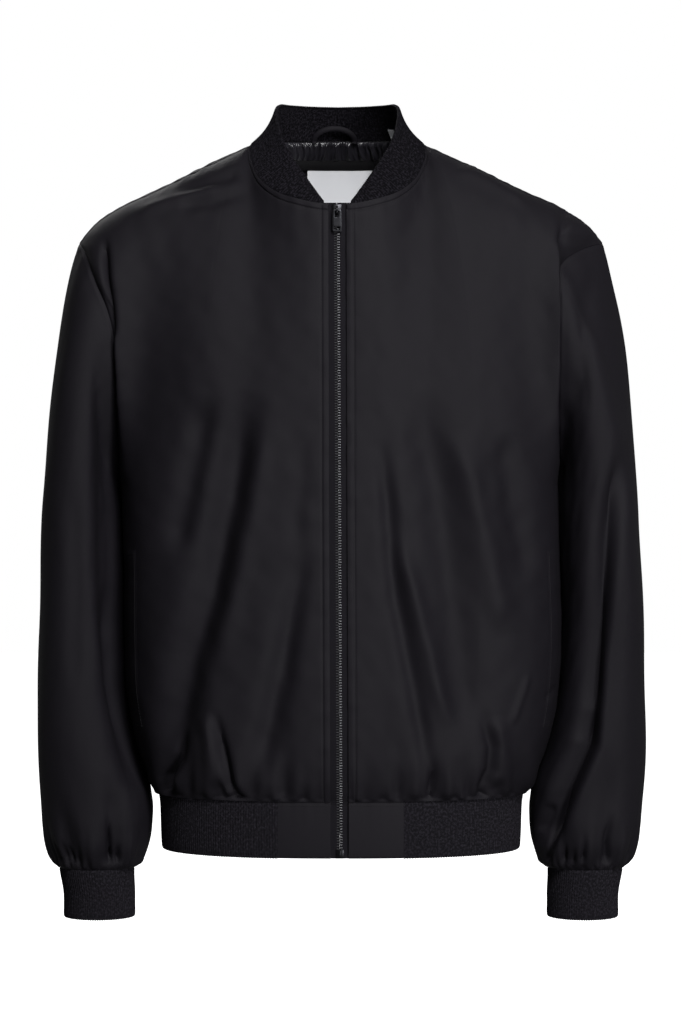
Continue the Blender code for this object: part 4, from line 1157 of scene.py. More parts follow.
class Repeat(Group):
    """A geometry tree that changes or repeats a shape and gives the result a material."""

    def __init__(self, name: str, inputs: dict[str, object], material: str) -> None:
        """Starts the tree; material names its last input."""
        sockets = {"Geometry": "Geometry", **inputs, material: "Material"}
        super().__init__(name, "GeometryNodeTree", sockets, {"Geometry": "Geometry"})
        self.material = material

    def along(self, pitch: str) -> bpy.types.NodeSocket:
        """The given edges as curves cut at the length that an input gives."""
        lines = self.first("GeometryNodeMeshToCurve", {"Mesh": self.given("Geometry")})
        cut = {"Curve": lines, "Length": self.given(pitch)}
        return self.first("GeometryNodeResampleCurve", cut, mode="LENGTH")

    def chance(self, low: float, high: float) -> bpy.types.NodeSocket:
        """A random number for each point, from the tree's own seed."""
        made = self.node("FunctionNodeRandomValue", {"Seed": self.given("Seed")}, data_type="FLOAT")
        self.feed(made, {2: low, 3: high})
        return made.outputs[1]

    def laid(
        self, points: bpy.types.NodeSocket, what: bpy.types.NodeSocket, inputs: dict
    ) -> bpy.types.NodeSocket:
        """Copies of a shape on points."""
        return self.first("GeometryNodeInstanceOnPoints", {"Points": points, "Instance": what, **inputs})

    def done(self, geometry: bpy.types.NodeSocket) -> bpy.types.NodeTree:
        """Closes the tree with real geometry and its material."""
        real = self.first("GeometryNodeRealizeInstances", {0: geometry})
        dressed = {"Geometry": real, "Material": self.given(self.material)}
        self.put_out("Geometry", self.first("GeometryNodeSetMaterial", dressed))
        return self.tree


class Repeats:
    """The geometry trees that make ribs, stitches and zip teeth."""

    def __init__(self) -> None:
        """Builds each tree once."""
        self.ribs = self.rib_tree()
        self.stitches = self.stitch_tree()
        self.teeth = self.teeth_tree()

    def rib_tree(self) -> bpy.types.NodeTree:
        """The tree that raises a band's outer side into knitted ribs."""
        made = Repeat("knit_ribs", {"Rib Height": 0.0006, "Unevenness": 0.2}, "Yarn")
        attribute = "GeometryNodeInputNamedAttribute"
        turn = made.sum("MULTIPLY", made.first(attribute, {"Name": "rib"}, data_type="FLOAT"), 2 * math.pi)
        wave = made.sum("MULTIPLY_ADD", made.sum("SINE", turn), 0.5, 0.5)
        rough = made.first("ShaderNodeTexNoise", {"Scale": 90.0, "Detail": 2.0}, noise_dimensions="3D")
        loose = made.sum("MULTIPLY", made.sum("SUBTRACT", rough, 0.5), made.given("Unevenness"))
        height = made.sum("ADD", made.sum("POWER", wave, 0.75), loose)
        height = made.sum("MULTIPLY", height, made.given("Rib Height"))
        lift = made.sum("MULTIPLY", height, made.first(attribute, {"Name": "raise"}, data_type="FLOAT"))
        normal = made.first("GeometryNodeInputNormal")
        offset = made.first("ShaderNodeVectorMath", {0: normal, "Scale": lift}, operation="SCALE")
        moved = {"Geometry": made.given("Geometry"), "Offset": offset}
        return made.done(made.first("GeometryNodeSetPosition", moved))

    def stitch_tree(self) -> bpy.types.NodeTree:
        """The tree that lays thread stitches end to end along lines."""
        sizes = {"Stitch Pitch": 0.0030, "Stitch Length": 0.0023, "Stitch Width": 0.0006, "Seed": 7}
        made = Repeat("topstitching", sizes, "Thread")
        thread = made.first("GeometryNodeMeshUVSphere", {"Segments": 6, "Rings": 4, "Radius": 0.5})
        tangent = made.first("GeometryNodeInputTangent")
        away = made.first("GeometryNodeInputNamedAttribute", {"Name": "out"}, data_type="FLOAT_VECTOR")
        axes = {"primary_axis": "X", "secondary_axis": "Z"}
        turn = made.first("FunctionNodeAxesToRotation", {0: tangent, 1: away}, **axes)
        length = made.sum("MULTIPLY", made.given("Stitch Length"), made.chance(0.88, 1.10))
        width = made.given("Stitch Width")
        size = made.first("ShaderNodeCombineXYZ", {0: length, 1: width, 2: made.sum("MULTIPLY", width, 0.7)})
        return made.done(made.laid(made.along("Stitch Pitch"), thread, {"Rotation": turn, "Scale": size}))

    def teeth_tree(self) -> bpy.types.NodeTree:
        """The tree that sets zip teeth along a line, from the left and the right in turn."""
        sizes = {"Tooth Pitch": 0.00128, "Side Step": 0.0008, "Tooth": "Object", "Seed": 3}
        made = Repeat("zip_teeth", sizes, "Metal")
        points = made.first("GeometryNodeCurveToPoints", {"Curve": made.along("Tooth Pitch")}, mode="EVALUATED")
        parity = made.sum("MODULO", made.first("GeometryNodeInputIndex"), 2.0)
        hand = made.sum("MULTIPLY_ADD", parity, 2.0, -1.0)
        aside = made.first("ShaderNodeCombineXYZ", {0: made.sum("MULTIPLY", hand, made.given("Side Step"))})
        moved = made.first("GeometryNodeSetPosition", {"Geometry": points, "Offset": aside})
        lean = {0: made.chance(-0.10, 0.10), 2: made.sum("MULTIPLY", hand, 0.16)}
        tilt = made.first("ShaderNodeCombineXYZ", lean)
        tooth = made.node("GeometryNodeObjectInfo", {"Object": made.given("Tooth")}).outputs["Geometry"]
        return made.done(made.laid(moved, tooth, {"Rotation": tilt}))


# ---- finishes -----------------------------------------------------------------------------------
class Effects:
    """Shader groups that the finishes share."""

    def __init__(self) -> None:
        """Builds each group once."""
        self.weave = self.weave_group()
        self.mottle = self.mottle_group()
        self.knit = self.knit_group()

    @staticmethod
    def noise(made: Group, place: str, scale: object, detail: float) -> bpy.types.NodeSocket:
        """Soft noise at the places that an input of the group gives."""
        return made.first("ShaderNodeTexNoise", {"Vector": made.given(place), "Scale": scale, "Detail": detail})

    def weave_group(self) -> bpy.types.NodeTree:
        """The group of crossed threads that follow the cloth's own map."""
        inputs = {"Map": "Vector", "Thread Pitch": 0.0007, "Slub": 0.35}
        made = Group("woven_threads", "ShaderNodeTree", inputs, {"Height": "Float"})
        parts = made.node("ShaderNodeSeparateXYZ", {0: made.given("Map")})
        turn = made.sum("DIVIDE", 2 * math.pi, made.given("Thread Pitch"))
        warp, weft = (made.sum("SINE", made.sum("MULTIPLY", parts.outputs[i], turn)) for i in (0, 1))
        uneven = made.sum("SUBTRACT", self.noise(made, "Map", 900.0, 3.0), 0.5)
        loose = made.sum("MULTIPLY", made.sum("MULTIPLY", uneven, made.given("Slub")), 2.0)
        crossed = made.sum("MULTIPLY", made.sum("MULTIPLY", warp, weft), 0.3)
        made.put_out("Height", made.sum("ADD", crossed, loose))
        return made.tree

    def mottle_group(self) -> bpy.types.NodeTree:
        """The group of broad soft variation of tone with a little lint."""
        inputs = {"Place": "Vector", "Broad Scale": 9.0, "Fine Scale": 140.0}
        made = Group("soft_mottle", "ShaderNodeTree", inputs, {"Factor": "Float", "Lint": "Float"})
        broad = self.noise(made, "Place", made.given("Broad Scale"), 3.0)
        fine = self.noise(made, "Place", made.given("Fine Scale"), 4.0)
        made.put_out("Factor", made.sum("MULTIPLY_ADD", broad, 0.62, made.sum("MULTIPLY", fine, 0.38)))
        specks = made.first("ShaderNodeTexVoronoi", {"Vector": made.given("Place"), "Scale": 260.0})
        ends = {"From Min": 0.0, "From Max": 0.10, "To Min": 1.0, "To Max": 0.0}
        made.put_out("Lint", made.first("ShaderNodeMapRange", {"Value": specks, **ends}))
        return made.tree

    def knit_group(self) -> bpy.types.NodeTree:
        """The group of rows of small knitted loops, with fuzz."""
        inputs = {"Map": "Vector", "Rib Pitch": 0.0026, "Row Pitch": 0.0012}
        made = Group("knit_loops", "ShaderNodeTree", inputs, {"Height": "Float", "Wear": "Float"})
        parts = made.node("ShaderNodeSeparateXYZ", {0: made.given("Map")})
        across = made.sum("DIVIDE", parts.outputs[0], made.given("Rib Pitch"))
        slant = made.sum("ABSOLUTE", made.sum("SUBTRACT", made.sum("FRACT", across), 0.5))
        rows = made.sum("ADD", made.sum("DIVIDE", parts.outputs[1], made.given("Row Pitch")), slant)
        loops = made.sum("SINE", made.sum("MULTIPLY", rows, 2 * math.pi))
        fuzz = self.noise(made, "Map", 1500.0, 3.0)
        made.put_out("Height", made.sum("ADD", made.sum("MULTIPLY", loops, 0.35), fuzz))
        patches = made.sum("SUBTRACT", self.noise(made, "Map", 420.0, 2.0), 0.5)
        made.put_out("Wear", made.sum("ADD", made.sum("MULTIPLY", patches, 5.0), slant))
        return made.tree


class Weave(Enum):
    """How a cloth's surface is made."""

    WOVEN = "woven"
    KNITTED = "knitted"


@dataclass(frozen=True)
class Finish:
    """What every finish has: a name, two tones and a roughness."""

    name: str
    dark: tuple[float, float, float]
    light: tuple[float, float, float]
    roughness: float

    def start(
        self, effects: Effects, scales: dict[str, float]
    ) -> tuple[bpy.types.Material, Nodes, bpy.types.Node]:
        """Starts the material.

        Args:
            effects: The shared groups.
            scales: The mottle's inputs that aren't the usual ones.

        Returns:
            The material, its nodes and the mottle.
        """
        material = bpy.data.materials.new(self.name)
        material.use_nodes = True
        material.diffuse_color = (*self.light, 1.0)
        nodes = Nodes(material.node_tree)
        place = nodes.node("ShaderNodeTexCoord")
        inputs = {"Place": place.outputs["Object"], **scales}
        return material, nodes, nodes.node("ShaderNodeGroup", inputs, node_tree=effects.mottle)

    def tone(self, nodes: Nodes, factor: bpy.types.NodeSocket) -> bpy.types.NodeSocket:
        """The colour between the dark and the light tone."""
        tones = {6: (*self.dark, 1.0), 7: (*self.light, 1.0), 0: factor}
        return nodes.node("ShaderNodeMix", tones, data_type="RGBA").outputs[2]

    def close(
        self, nodes: Nodes, patches: bpy.types.NodeSocket, less: float, more: float, inputs: dict
    ) -> None:
        """Joins the shader.

        Args:
            nodes: The material's nodes.
            patches: Where the surface is rougher.
            less: How far below the usual roughness it falls.
            more: How far above it rises.
            inputs: The shader's other inputs; Strength, Distance and Height are those of its relief.
        """
        ends = {"To Min": self.roughness - less, "To Max": self.roughness + more, "Value": patches}
        relief = {key: inputs.pop(key) for key in ("Strength", "Distance", "Height")}
        inputs["Roughness"] = nodes.first("ShaderNodeMapRange", ends)
        inputs["Normal"] = nodes.first("ShaderNodeBump", relief)
        nodes.feed(nodes.tree.nodes["Principled BSDF"], inputs)


@dataclass(frozen=True)
class ClothFinish(Finish):
    """A cloth: its colours, shine and threads."""

    weave: Weave = Weave.WOVEN
    thread_pitch: float = 0.0007
    bump: float = 0.00012
    specular: float = 0.35
    lint: float = 0.02

    def make(self, effects: Effects) -> bpy.types.Material:
        """Builds the material from the shared groups."""
        material, nodes, mottle = self.start(effects, {})
        knitted = self.weave is Weave.KNITTED
        place = nodes.node("ShaderNodeTexCoord").outputs["UV"]
        threads = nodes.node(
            "ShaderNodeGroup",
            {"Map": place, "Row Pitch" if knitted else "Thread Pitch": self.thread_pitch},
            node_tree=effects.knit if knitted else effects.weave,
        )
        tone = self.tone(nodes, threads.outputs["Wear"] if knitted else mottle.outputs["Factor"])
        speck = nodes.sum("MULTIPLY", mottle.outputs["Lint"], self.lint)
        pale = (*[min(1.0, c * 3.0 + 0.03) for c in self.light], 1.0)
        specked = nodes.node("ShaderNodeMix", {6: tone, 7: pale, 0: speck}, data_type="RGBA").outputs[2]
        inputs = {"Base Color": specked, "Specular IOR Level": self.specular}
        inputs |= {"Strength": 1.0, "Distance": self.bump, "Height": threads.outputs["Height"]}
        self.close(nodes, mottle.outputs["Factor"], 0.07, 0.07, inputs)
        return material


@dataclass(frozen=True)
class MetalFinish(Finish):
    """A metal: its colours and how worn it is."""

    def make(self, effects: Effects) -> bpy.types.Material:
        """Builds the material from the shared groups."""
        material, nodes, mottle = self.start(effects, {"Broad Scale": 120.0, "Fine Scale": 900.0})
        patches = mottle.outputs["Factor"]
        inputs = {"Base Color": self.tone(nodes, patches), "Metallic": 1.0}
        inputs |= {"Strength": 0.4, "Distance": 0.00004, "Height": patches}
        self.close(nodes, patches, 0.10, 0.12, inputs)
        return material


class Finishes:
    """Every finish on the jacket, built once."""

    def __init__(self) -> None:
        """Builds the materials."""
        effects = Effects()
        shell = ClothFinish("shell_cloth", (0.0042, 0.0036, 0.0054), (0.0066, 0.0057, 0.0080), 0.66)
        self.shell = replace(shell, bump=0.00010, specular=0.12).make(effects)
        lining = ClothFinish("lining_cloth", (0.0020, 0.0018, 0.0026), (0.0034, 0.0031, 0.0042), 0.60)
        self.lining = replace(lining, thread_pitch=0.0005, specular=0.2).make(effects)
        rib = ClothFinish("rib_knit", (0.0046, 0.0041, 0.0057), (0.0135, 0.0121, 0.0162), 0.90)
        rib = replace(rib, weave=Weave.KNITTED, thread_pitch=0.0012, bump=0.00036, specular=0.10, lint=0.05)
        self.rib = rib.make(effects)
        # The collar's knit is the rib knit with darker tones and less shine: painted shade for the shadow on
        # the collar. Its stronger grain is the knit's own texture.
        collar = replace(rib, name="collar_knit", dark=(0.0022, 0.0020, 0.0029), light=(0.0114, 0.0102, 0.0137))
        self.collar_rib = replace(collar, roughness=0.92, bump=0.00045, specular=0.06).make(effects)
        satin = ClothFinish("gathered_satin", (0.0105, 0.0099, 0.0128), (0.0190, 0.0178, 0.0226), 0.30)
        self.satin = replace(satin, thread_pitch=0.0004, bump=0.00004, specular=0.60).make(effects)
        tape = ClothFinish("zip_tape", (0.0038, 0.0034, 0.0048), (0.0080, 0.0072, 0.0098), 0.85)
        self.tape = replace(tape, thread_pitch=0.0013, bump=0.0004, specular=0.1).make(effects)
        thread = ClothFinish("topstitch_thread", (0.0026, 0.0023, 0.0032), (0.0048, 0.0044, 0.0056), 0.75)
        self.thread = replace(thread, thread_pitch=0.0004, bump=0.00005).make(effects)
        label = ClothFinish("bare_label", (0.84, 0.85, 0.89), (0.90, 0.91, 0.94), 0.60)
        self.label = replace(label, thread_pitch=0.0008, bump=0.00010, lint=0.0).make(effects)
        self.metal = MetalFinish("gunmetal", (0.006, 0.006, 0.007), (0.028, 0.028, 0.031), 0.30).make(effects)
        tooth = MetalFinish("tooth_metal", (0.05, 0.05, 0.053), (0.20, 0.20, 0.21), 0.42)
        self.tooth_metal = tooth.make(effects)


# ---- the cloth ----------------------------------------------------------------------------------
class Line(NamedTuple):
    """A line of topstitching: its places and their outward normals."""

    places: Array
    outward: Array


class Cloth(NamedTuple):
    """One finished cloth surface: places, normals and the distances across and down it."""

    places: Array
    inner: Array
    normals: Array
    across: Array
    down: Array


@dataclass
class BodyPanels:
    """The two fronts and the back."""

    form: BodyForm
    finishes: Finishes
    wall: float = 0.0018
    stitch_at: float = 0.0066
    thread_lift: float = 0.0001
    wide_step: float = 0.0030
    back_step: float = 0.0037
    fine_step: float = 0.0008
    fine_reach: float = 0.0096
    fold_edge: float = 0.0260
    gather_depth: float = 0.0020
    gather_length: float = 0.0290
    gather_reach: float = 0.0500
    fold_gain: float = 1.35
    crease_gain: float = 1.4
    stitched: list[Line] = field(default_factory=list)

    def relief(
        self, places: Array, share: Array, down: Array, hand: Hand, face: Face
    ) -> tuple[Array, Array]:
        """How deep the cloth is pressed in at each place.

        Args:
            places: Places on the smooth form, from the centre to the side.
            share: Their shares of the way to the side.
            down: Their shares of the way to the hem.
            hand: Which half.
            face: Front or back.

        Returns:
            The depths of the folds, and those of the seams' own relief.
        """
        side, height = places[..., 0], places[..., 2]
        from_top, from_centre = run_lengths(places, 0), run_lengths(places, 1)
        to_side = from_centre[:, -1:] - from_centre
        above_hem = height - self.form.hem_seam
        is_front = face is Face.FRONT
        depth = self.fold_gain * crease_depths(places, BODY_FOLDS[face])
        reach = 1.0 - np.abs(above_hem - 0.012) / self.gather_reach
        gathers = np.cos(side * 2 * math.pi / self.gather_length + 0.8 * np.sin(37 * side))
        depth = depth + self.gather_depth * gathers * smooth_step(reach)
        seed = 11 + 7 * hand.value + (0 if is_front else 40)
        depth = depth + 0.0012 * unevenness(side, height, 0.085, 2.4, seed)
        nominal = self.form.nominal_width
        open_edge = share * nominal - self.form.zip_opening_half if is_front else 1.0 + 0 * share
        depth = depth * smooth_step(above_hem / 0.010) * smooth_step((1.0 - share) * nominal / self.fold_edge)
        depth = depth * smooth_step(open_edge / self.fold_edge) * smooth_step(down / 0.12)
        fine = self.crease_gain * crease_depths(places, BODY_CREASES[face])
        fine = fine + 0.00030 * unevenness(side, height, 0.022, 1.8, seed + 3)
        fine = fine + 0.00055 * waves(from_centre, 0.013, seed + 5) * np.exp(-from_top / 0.016)
        fine = fine + 0.0017 * waves(side, 0.0115, seed + 6, 6) * np.exp(-above_hem / 0.020)
        armhole = smooth_step((self.form.yoke_share - down) / 0.05)
        fine = fine + 0.0005 * waves(height, 0.017, seed + 8) * np.exp(-to_side / 0.014) * armhole
        if is_front:
            fine = fine + 0.00035 * waves(height, 0.024, seed + 9) * np.exp(-from_centre / 0.012)
        fine = fine * smooth_step(above_hem / 0.0035) * smooth_step(from_top / 0.0030)
        deep = depth + fine * smooth_step(to_side / 0.0060)
        seams = seam_relief(from_top, self.stitch_at) * smooth_step(from_centre / 0.001)
        if is_front:
            beside_zip = seam_relief(from_centre, self.stitch_at, 0.0004)
            return deep, seams + beside_zip * smooth_step(from_top / 0.004)
        beside_neck = smooth_step((0.095 - np.abs(side)) / 0.03) * smooth_step((height + 0.105) / 0.03)
        return deep * (1.0 - beside_neck), seams

    def half(self, hand: Hand, face: Face) -> Cloth:
        """The finished cloth of half a panel, from the centre to the side."""
        step = self.wide_step if face is Face.FRONT else self.back_step
        shares = spaced(0.29, step, self.fine_step, self.fine_reach, face is Face.FRONT, True)
        shares = np.unique(np.concatenate([shares, [self.form.neck_share(face)]]))
        share, down = np.meshgrid(shares, spaced(0.62, step, self.fine_step, self.fine_reach, True, True))
        gap = self.form.seam_gap
        share = share * (1 - gap / 2 / self.form.nominal_width)
        down = gap / 0.60 + down * (1 - gap / 0.60)
        places = self.form.place(share, down, hand, face)
        normals = self.form.normals(share, down, hand, face)
        deep, seams = self.relief(places, share, down, hand, face)
        inner = places - normals * (deep + self.wall)[..., None]
        outer = places - normals * (deep + seams)[..., None]
        across = run_lengths(places, 1) * hand.value
        return Cloth(outer, inner, normals, across, run_lengths(places, 0))

    def keep_stitching(self, cloth: Cloth, face: Face) -> None:
        """Notes where half a panel's topstitching runs, below its top edge and beside the zip."""
        far, low = np.abs(cloth.across) >= self.stitch_at, cloth.down >= self.stitch_at
        rows, columns = np.argmax(low, axis=0), np.arange(low.shape[1])
        runs = [(rows, columns, far[rows, columns] | (face is Face.BACK))]
        if face is Face.FRONT:
            rows, columns = np.arange(len(far)), np.argmax(far, axis=1)
            runs.append((rows, columns, low[rows, columns]))
        for rows, columns, keep in runs:
            rows, columns = rows[keep], columns[keep]
            normals = cloth.normals[rows, columns]
            self.stitched.append(Line(cloth.places[rows, columns] + normals * self.thread_lift, normals))

    def panel(self, name: str, stands_for: str, cloth: Cloth) -> None:
        """Makes a panel.

        Args:
            name: The piece's name.
            stands_for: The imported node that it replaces.
            cloth: Its finished cloth.
        """
        mesh = shell_mesh(name, cloth.places, cloth.inner, np.stack([cloth.across, cloth.down], axis=-1))
        piece = Piece(name, stands_for, "shell", [self.finishes.shell, self.finishes.lining]).make(mesh)
        flat_area(cloth.places)

    def build(self) -> None:
        """Makes the three panels."""
        for hand in Hand:
            cloth = self.half(hand, Face.FRONT)
            self.keep_stitching(cloth, Face.FRONT)
            self.panel(f"front_panel_{hand.tag}", f"front_{hand.tag}", cloth)
        halves = [self.half(hand, Face.BACK) for hand in Hand]
        for cloth in halves:
            self.keep_stitching(cloth, Face.BACK)
        whole = Cloth(*(np.concatenate([left[:, :0:-1], right], axis=1) for left, right in zip(*halves)))
        self.panel("back_panel", "back", whole)


@dataclass
class Sleeves:
    """The two sleeves."""

    form: SleeveForm
    finishes: Finishes
    wall: float = 0.0018
    around_count: int = 208
    wide_step: float = 0.0042
    fine_step: float = 0.0010
    fine_reach: float = 0.0090
    gather_count: int = 10
    gather_depth: float = 0.0022
    gather_reach: float = 0.0450
    girth: float = 0.40

    def relief(self, places: Array, around: Array, down: Array, hand: Hand) -> Array:
        """How deep a sleeve is pressed in at each place.

        Args:
            places: Places on the smooth sleeve.
            around: Their shares of the way round.
            down: Their shares of the way down.
            hand: Which sleeve.

        Returns:
            The depths.
        """
        height = places[..., 2]
        angle = around * 2 * math.pi
        sine = np.sin(angle)
        to_front, to_back = smooth_step(sine / 0.5), smooth_step(-sine / 0.5)
        above_cuff = height - self.form.cuff_seam
        depth = crease_depths(places, SLEEVE_FOLDS[hand, Face.FRONT]) * to_front
        depth = depth + 1.3 * crease_depths(places, SLEEVE_FOLDS[hand, Face.BACK]) * to_back
        reach = 1.0 - np.abs(above_cuff - 0.014) / self.gather_reach
        gathers = np.cos(self.gather_count * angle + 1.2 * np.sin(2 * angle))
        clear = 1.0 - 0.8 * smooth_step((0.5 - np.abs(np.mod(around, 1.0) - 0.5)) / 0.5 * 2 - 1)
        depth = depth + self.gather_depth * gathers * smooth_step(reach) * clear
        seed = 90 + 5 * hand.value
        swirl = 0.045 * np.cos(angle) + 0.02 * np.cos(2 * angle)
        depth = depth + 0.0012 * unevenness(0.07 * sine, height + swirl, 0.080, 1.9, seed) * clear
        depth = depth * smooth_step(above_cuff / 0.012) * smooth_step(down / 0.10)
        fine = 1.4 * crease_depths(places, SLEEVE_CREASES[hand, Face.FRONT]) * to_front
        fine = fine + crease_depths(places, SLEEVE_CREASES[hand, Face.BACK]) * to_back
        from_top = run_lengths(places, 0)
        ripple = np.cos(31 * angle + 1.7 * np.sin(3 * angle))
        ripple = ripple + 0.6 * np.cos(43 * angle + 2.1 * np.sin(2 * angle))
        fine = fine + 0.00120 * ripple * np.exp(-above_cuff / 0.016) * clear
        uneven = unevenness(self.girth * around, height, 0.024, 1.7, seed + 3)
        fine = fine + 0.00030 * uneven * np.sin(angle / 2) ** 2
        easing = np.cos(19 * angle + 1.3 * np.sin(2 * angle))
        fine = fine + 0.00045 * easing * np.exp(-from_top / 0.015) * (0.4 + 0.6 * np.cos(angle / 2) ** 2)
        fine = fine * smooth_step(above_cuff / 0.004) * smooth_step(from_top / 0.004)
        return depth + fine - 0.0004 * np.exp(-(((from_top - 0.0035) / 0.0022) ** 2))

    def build(self) -> None:
        """Makes both sleeves; a first row is tucked in under the body's edge."""
        arounds = np.arange(self.around_count) / self.around_count
        downs = spaced(0.64, self.wide_step, self.fine_step, self.fine_reach, True, True)
        around, down = np.meshgrid(arounds, 0.0015 + downs * 0.9985)
        for hand in Hand:
            places = self.form.place(around, down, hand)
            normals = self.form.normals(around, down, hand)
            outer = places - normals * self.relief(places, around, down, hand)[..., None]
            tuck = outer[:1] - unit(outer[2:3] - outer[:1]) * 0.0030 - normals[:1] * 0.0024
            outer = np.concatenate([tuck, outer])
            inner = outer - np.concatenate([normals[:1], normals]) * self.wall
            across = np.minimum(arounds, 1 - arounds) * 0.42 + 0 * outer[..., 0]
            cloth = np.stack([across, run_lengths(outer, 0)], axis=-1)
            name = f"sleeve_cloth_{hand.tag}"
            materials = [self.finishes.shell, self.finishes.lining]
            mesh = shell_mesh(name, outer, inner, cloth, around=True)
            piece = Piece(name, f"sleeve_{hand.tag}", "shell", materials).make(mesh)
            area, hung = flat_area(outer, around=True), [f"front_panel_{hand.tag}", "back_panel"]


# ---- ribbed bands -------------------------------------------------------------------------------
UP = np.array([0.0, 0.0, 1.0])


def band_heights(top: float, low: float, count: int) -> Array:
    """Heights from a band's seam to its folded lower edge, close together at both."""
    middle = np.linspace(top - 0.003, low + 0.003, count)
    return np.concatenate([[top, top - 0.0008], middle, [low + 0.001, low]])


@dataclass
class RibbedBands:
    """The collar, the hem band, the two hem tabs and the two cuffs."""

    form: BodyForm
    finishes: Finishes
    repeats: Repeats
    wall: float = 0.0024
    tab_wall: float = 0.0020
    rib_height: float = 0.00062
    collar_pitch: float = 0.0028
    hem_pitch: float = 0.0026
    cuff_pitch: float = 0.0025
    facets: int = 6
    hem_half_width: float = 0.1782
    hem_front: float = 0.1080
    hem_back: float = 0.1100
    tab_edge: float = 0.0605
    tab_stitch: float = 0.0035
    cuff_centre: float = 0.2440
    cuff_top: float = -0.7215
    cuff_bottom: float = -0.7710
    cuff_top_half: float = 0.0372
    cuff_bottom_half: float = 0.0345
    stitched: list[Line] = field(default_factory=list)

    def band(
        self, name: str, stands_for: str, outer: Array, normals: Array, fade: Array, around: bool = False
    ) -> bpy.types.Object:
        """Makes a ribbed band.

        Args:
            name: The piece's name.
            stands_for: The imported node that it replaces.
            outer: Its outer places, rows by columns.
            normals: Their normals.
            fade: How much of the rib shows on each row and column.
            around: Whether it joins up.

        Returns:
            The band.
        """
        ribs = np.broadcast_to(np.arange(outer.shape[1]) / self.facets, outer.shape[:2])
        cloth = np.stack([ribs * self.hem_pitch, run_lengths(outer, 0)], -1)
        mesh = shell_mesh(name, outer, outer - normals * self.wall, cloth, around)
        give_values(mesh, "rib", "FLOAT", np.stack([ribs, ribs]))
        give_values(mesh, "raise", "FLOAT", np.stack([fade, 0.6 * fade]))
        # The collar takes the darker knit, whose darker tones are painted shade; the other bands take the plain
        # rib knit.
        yarn = self.finishes.collar_rib if stands_for == "collar" else self.finishes.rib
        inputs = {"Rib Height": self.rib_height, "Unevenness": 0.25, "Yarn": yarn}
        piece = Piece(name, stands_for, "rib", [yarn]).make(mesh, (self.repeats.ribs, inputs))
        piece.data.shade_smooth()
        return piece

    def collar(self) -> None:
        """Makes the collar, with the small tab inside it."""
        half = [(n.side, n.depth, n.height) for n in NECKLINE]
        edge = [(n.edge_side, n.edge_depth, n.edge_height) for n in NECKLINE]
        along, length = shares_along(half)
        shares = np.linspace(0.004 / length, 1.0, round(length / self.collar_pitch) * self.facets + 1)
        runs = []
        for line in (half, edge):
            run = np.stack([smooth_table(shares, along, [p[i] for p in line]) for i in range(3)], -1)
            runs.append(np.concatenate([run * (-1, 1, 1), run[-2::-1]]))
        seam, top = runs
        levels = np.concatenate([[0.0, 0.02], np.linspace(0.08, 0.92, 8), [0.97, 0.99, 1.0]])
        places = seam + (top - seam) * levels[:, None, None]
        places[..., 0] += self.form.neck_shift
        up = unit(top - seam)
        normals = unit(np.cross(unit(np.gradient(places, axis=1)), np.broadcast_to(up, places.shape)))
        normals = turned_to(normals, places - np.array([self.form.neck_shift, -0.005, -0.03]))
        width = np.linalg.norm(top - seam, axis=-1)
        bow = smooth_table(shares, along, column(NECKLINE, "bow"))
        roll = np.concatenate([bow, bow[-2::-1]]) * width * 4 * levels[:, None] * (1 - levels[:, None])
        rounding = np.where(levels > 0.96, (levels - 0.96) / 0.04, 0.0)[:, None] ** 2 * self.wall * 0.35
        places = places + normals * (roll - rounding)[..., None]
        places[0] += up * 0.0003
        fade = smooth_step(width / 0.012)[None, :] * np.where(levels > 0.96, 0.5, 1.0)[:, None]
        fade = fade * smooth_step((levels + 0.02) / 0.06)[:, None]
        piece = self.band("collar_band", "collar", places, normals, fade)
        spread = shares_along(seam)[1]
        size, area = (round(spread, 3), 0.048), min(flat_area(places), spread * 0.047)
        self.small_tab(places, normals, levels)

    def small_tab(self, places: Array, normals: Array, levels: Array) -> None:
        """Makes the small bare tab from the collar's own places moved inwards.

        Args:
            places: The collar's outside, rows upwards.
            normals: Its normals.
            levels: The share of the collar's width at each row.
        """
        depth = np.abs(places[0, :, 1] - 0.0620)
        columns = np.flatnonzero((places[0, :, 0] > 0) & (depth < 0.0038))
        rows = []
        for share in np.linspace(0.34, 0.07, 7):
            upper = int(np.searchsorted(levels, share))
            part = (share - levels[upper - 1]) / (levels[upper] - levels[upper - 1])
            line = places[upper - 1] + (places[upper] - places[upper - 1]) * part
            rows.append((line - normals[upper] * (self.wall + 0.0003))[columns])
        back = np.stack(rows)
        bow = 0.0011 + 0.0004 * np.sin(np.linspace(0.0, math.pi, len(columns)))
        cloth = np.stack([run_lengths(back, 1), run_lengths(back, 0)], axis=-1)
        front = back - normals[1 : 1 + len(rows), columns] * bow[None, :, None]
        mesh = shell_mesh("small_tab", front, back, cloth)
        piece = Piece("small_tab", "collar_tab", "label", [self.finishes.label] * 2).make(mesh)

    def ring(self, start: float, end: float, count: int) -> Array:
        """Places round the hem's level section, evenly spaced.

        Args:
            start: The first angle, from the centre front.
            end: The last angle.
            count: How many steps there are.

        Returns:
            The places, at height zero.
        """
        angle = np.linspace(start, end, 4000)
        sine, cosine = np.sin(angle), np.cos(angle)
        power = 2 / self.form.squareness
        side = self.hem_half_width * squared(sine, power)
        depth = np.where(cosine > 0, self.hem_front, self.hem_back)
        line = np.stack([side, -depth * squared(cosine, power), 0 * angle], axis=-1)
        along, wanted = shares_along(line)[0], np.linspace(0, 1, count + 1)
        return np.stack([np.interp(wanted, along, line[:, i]) for i in range(3)], axis=-1)

    def angle_at(self, side: float) -> float:
        """The hem section's angle at a sideways place near the front."""
        share = (abs(side) / self.hem_half_width) ** (self.form.squareness / 2)
        return math.asin(share) * math.copysign(1, side)

    def ring_normals(self, ring: Array) -> Array:
        """Outward normals of a level ring."""
        return turned_to(unit(np.cross(np.gradient(ring, axis=0), UP)), ring * (1, 1, 0))

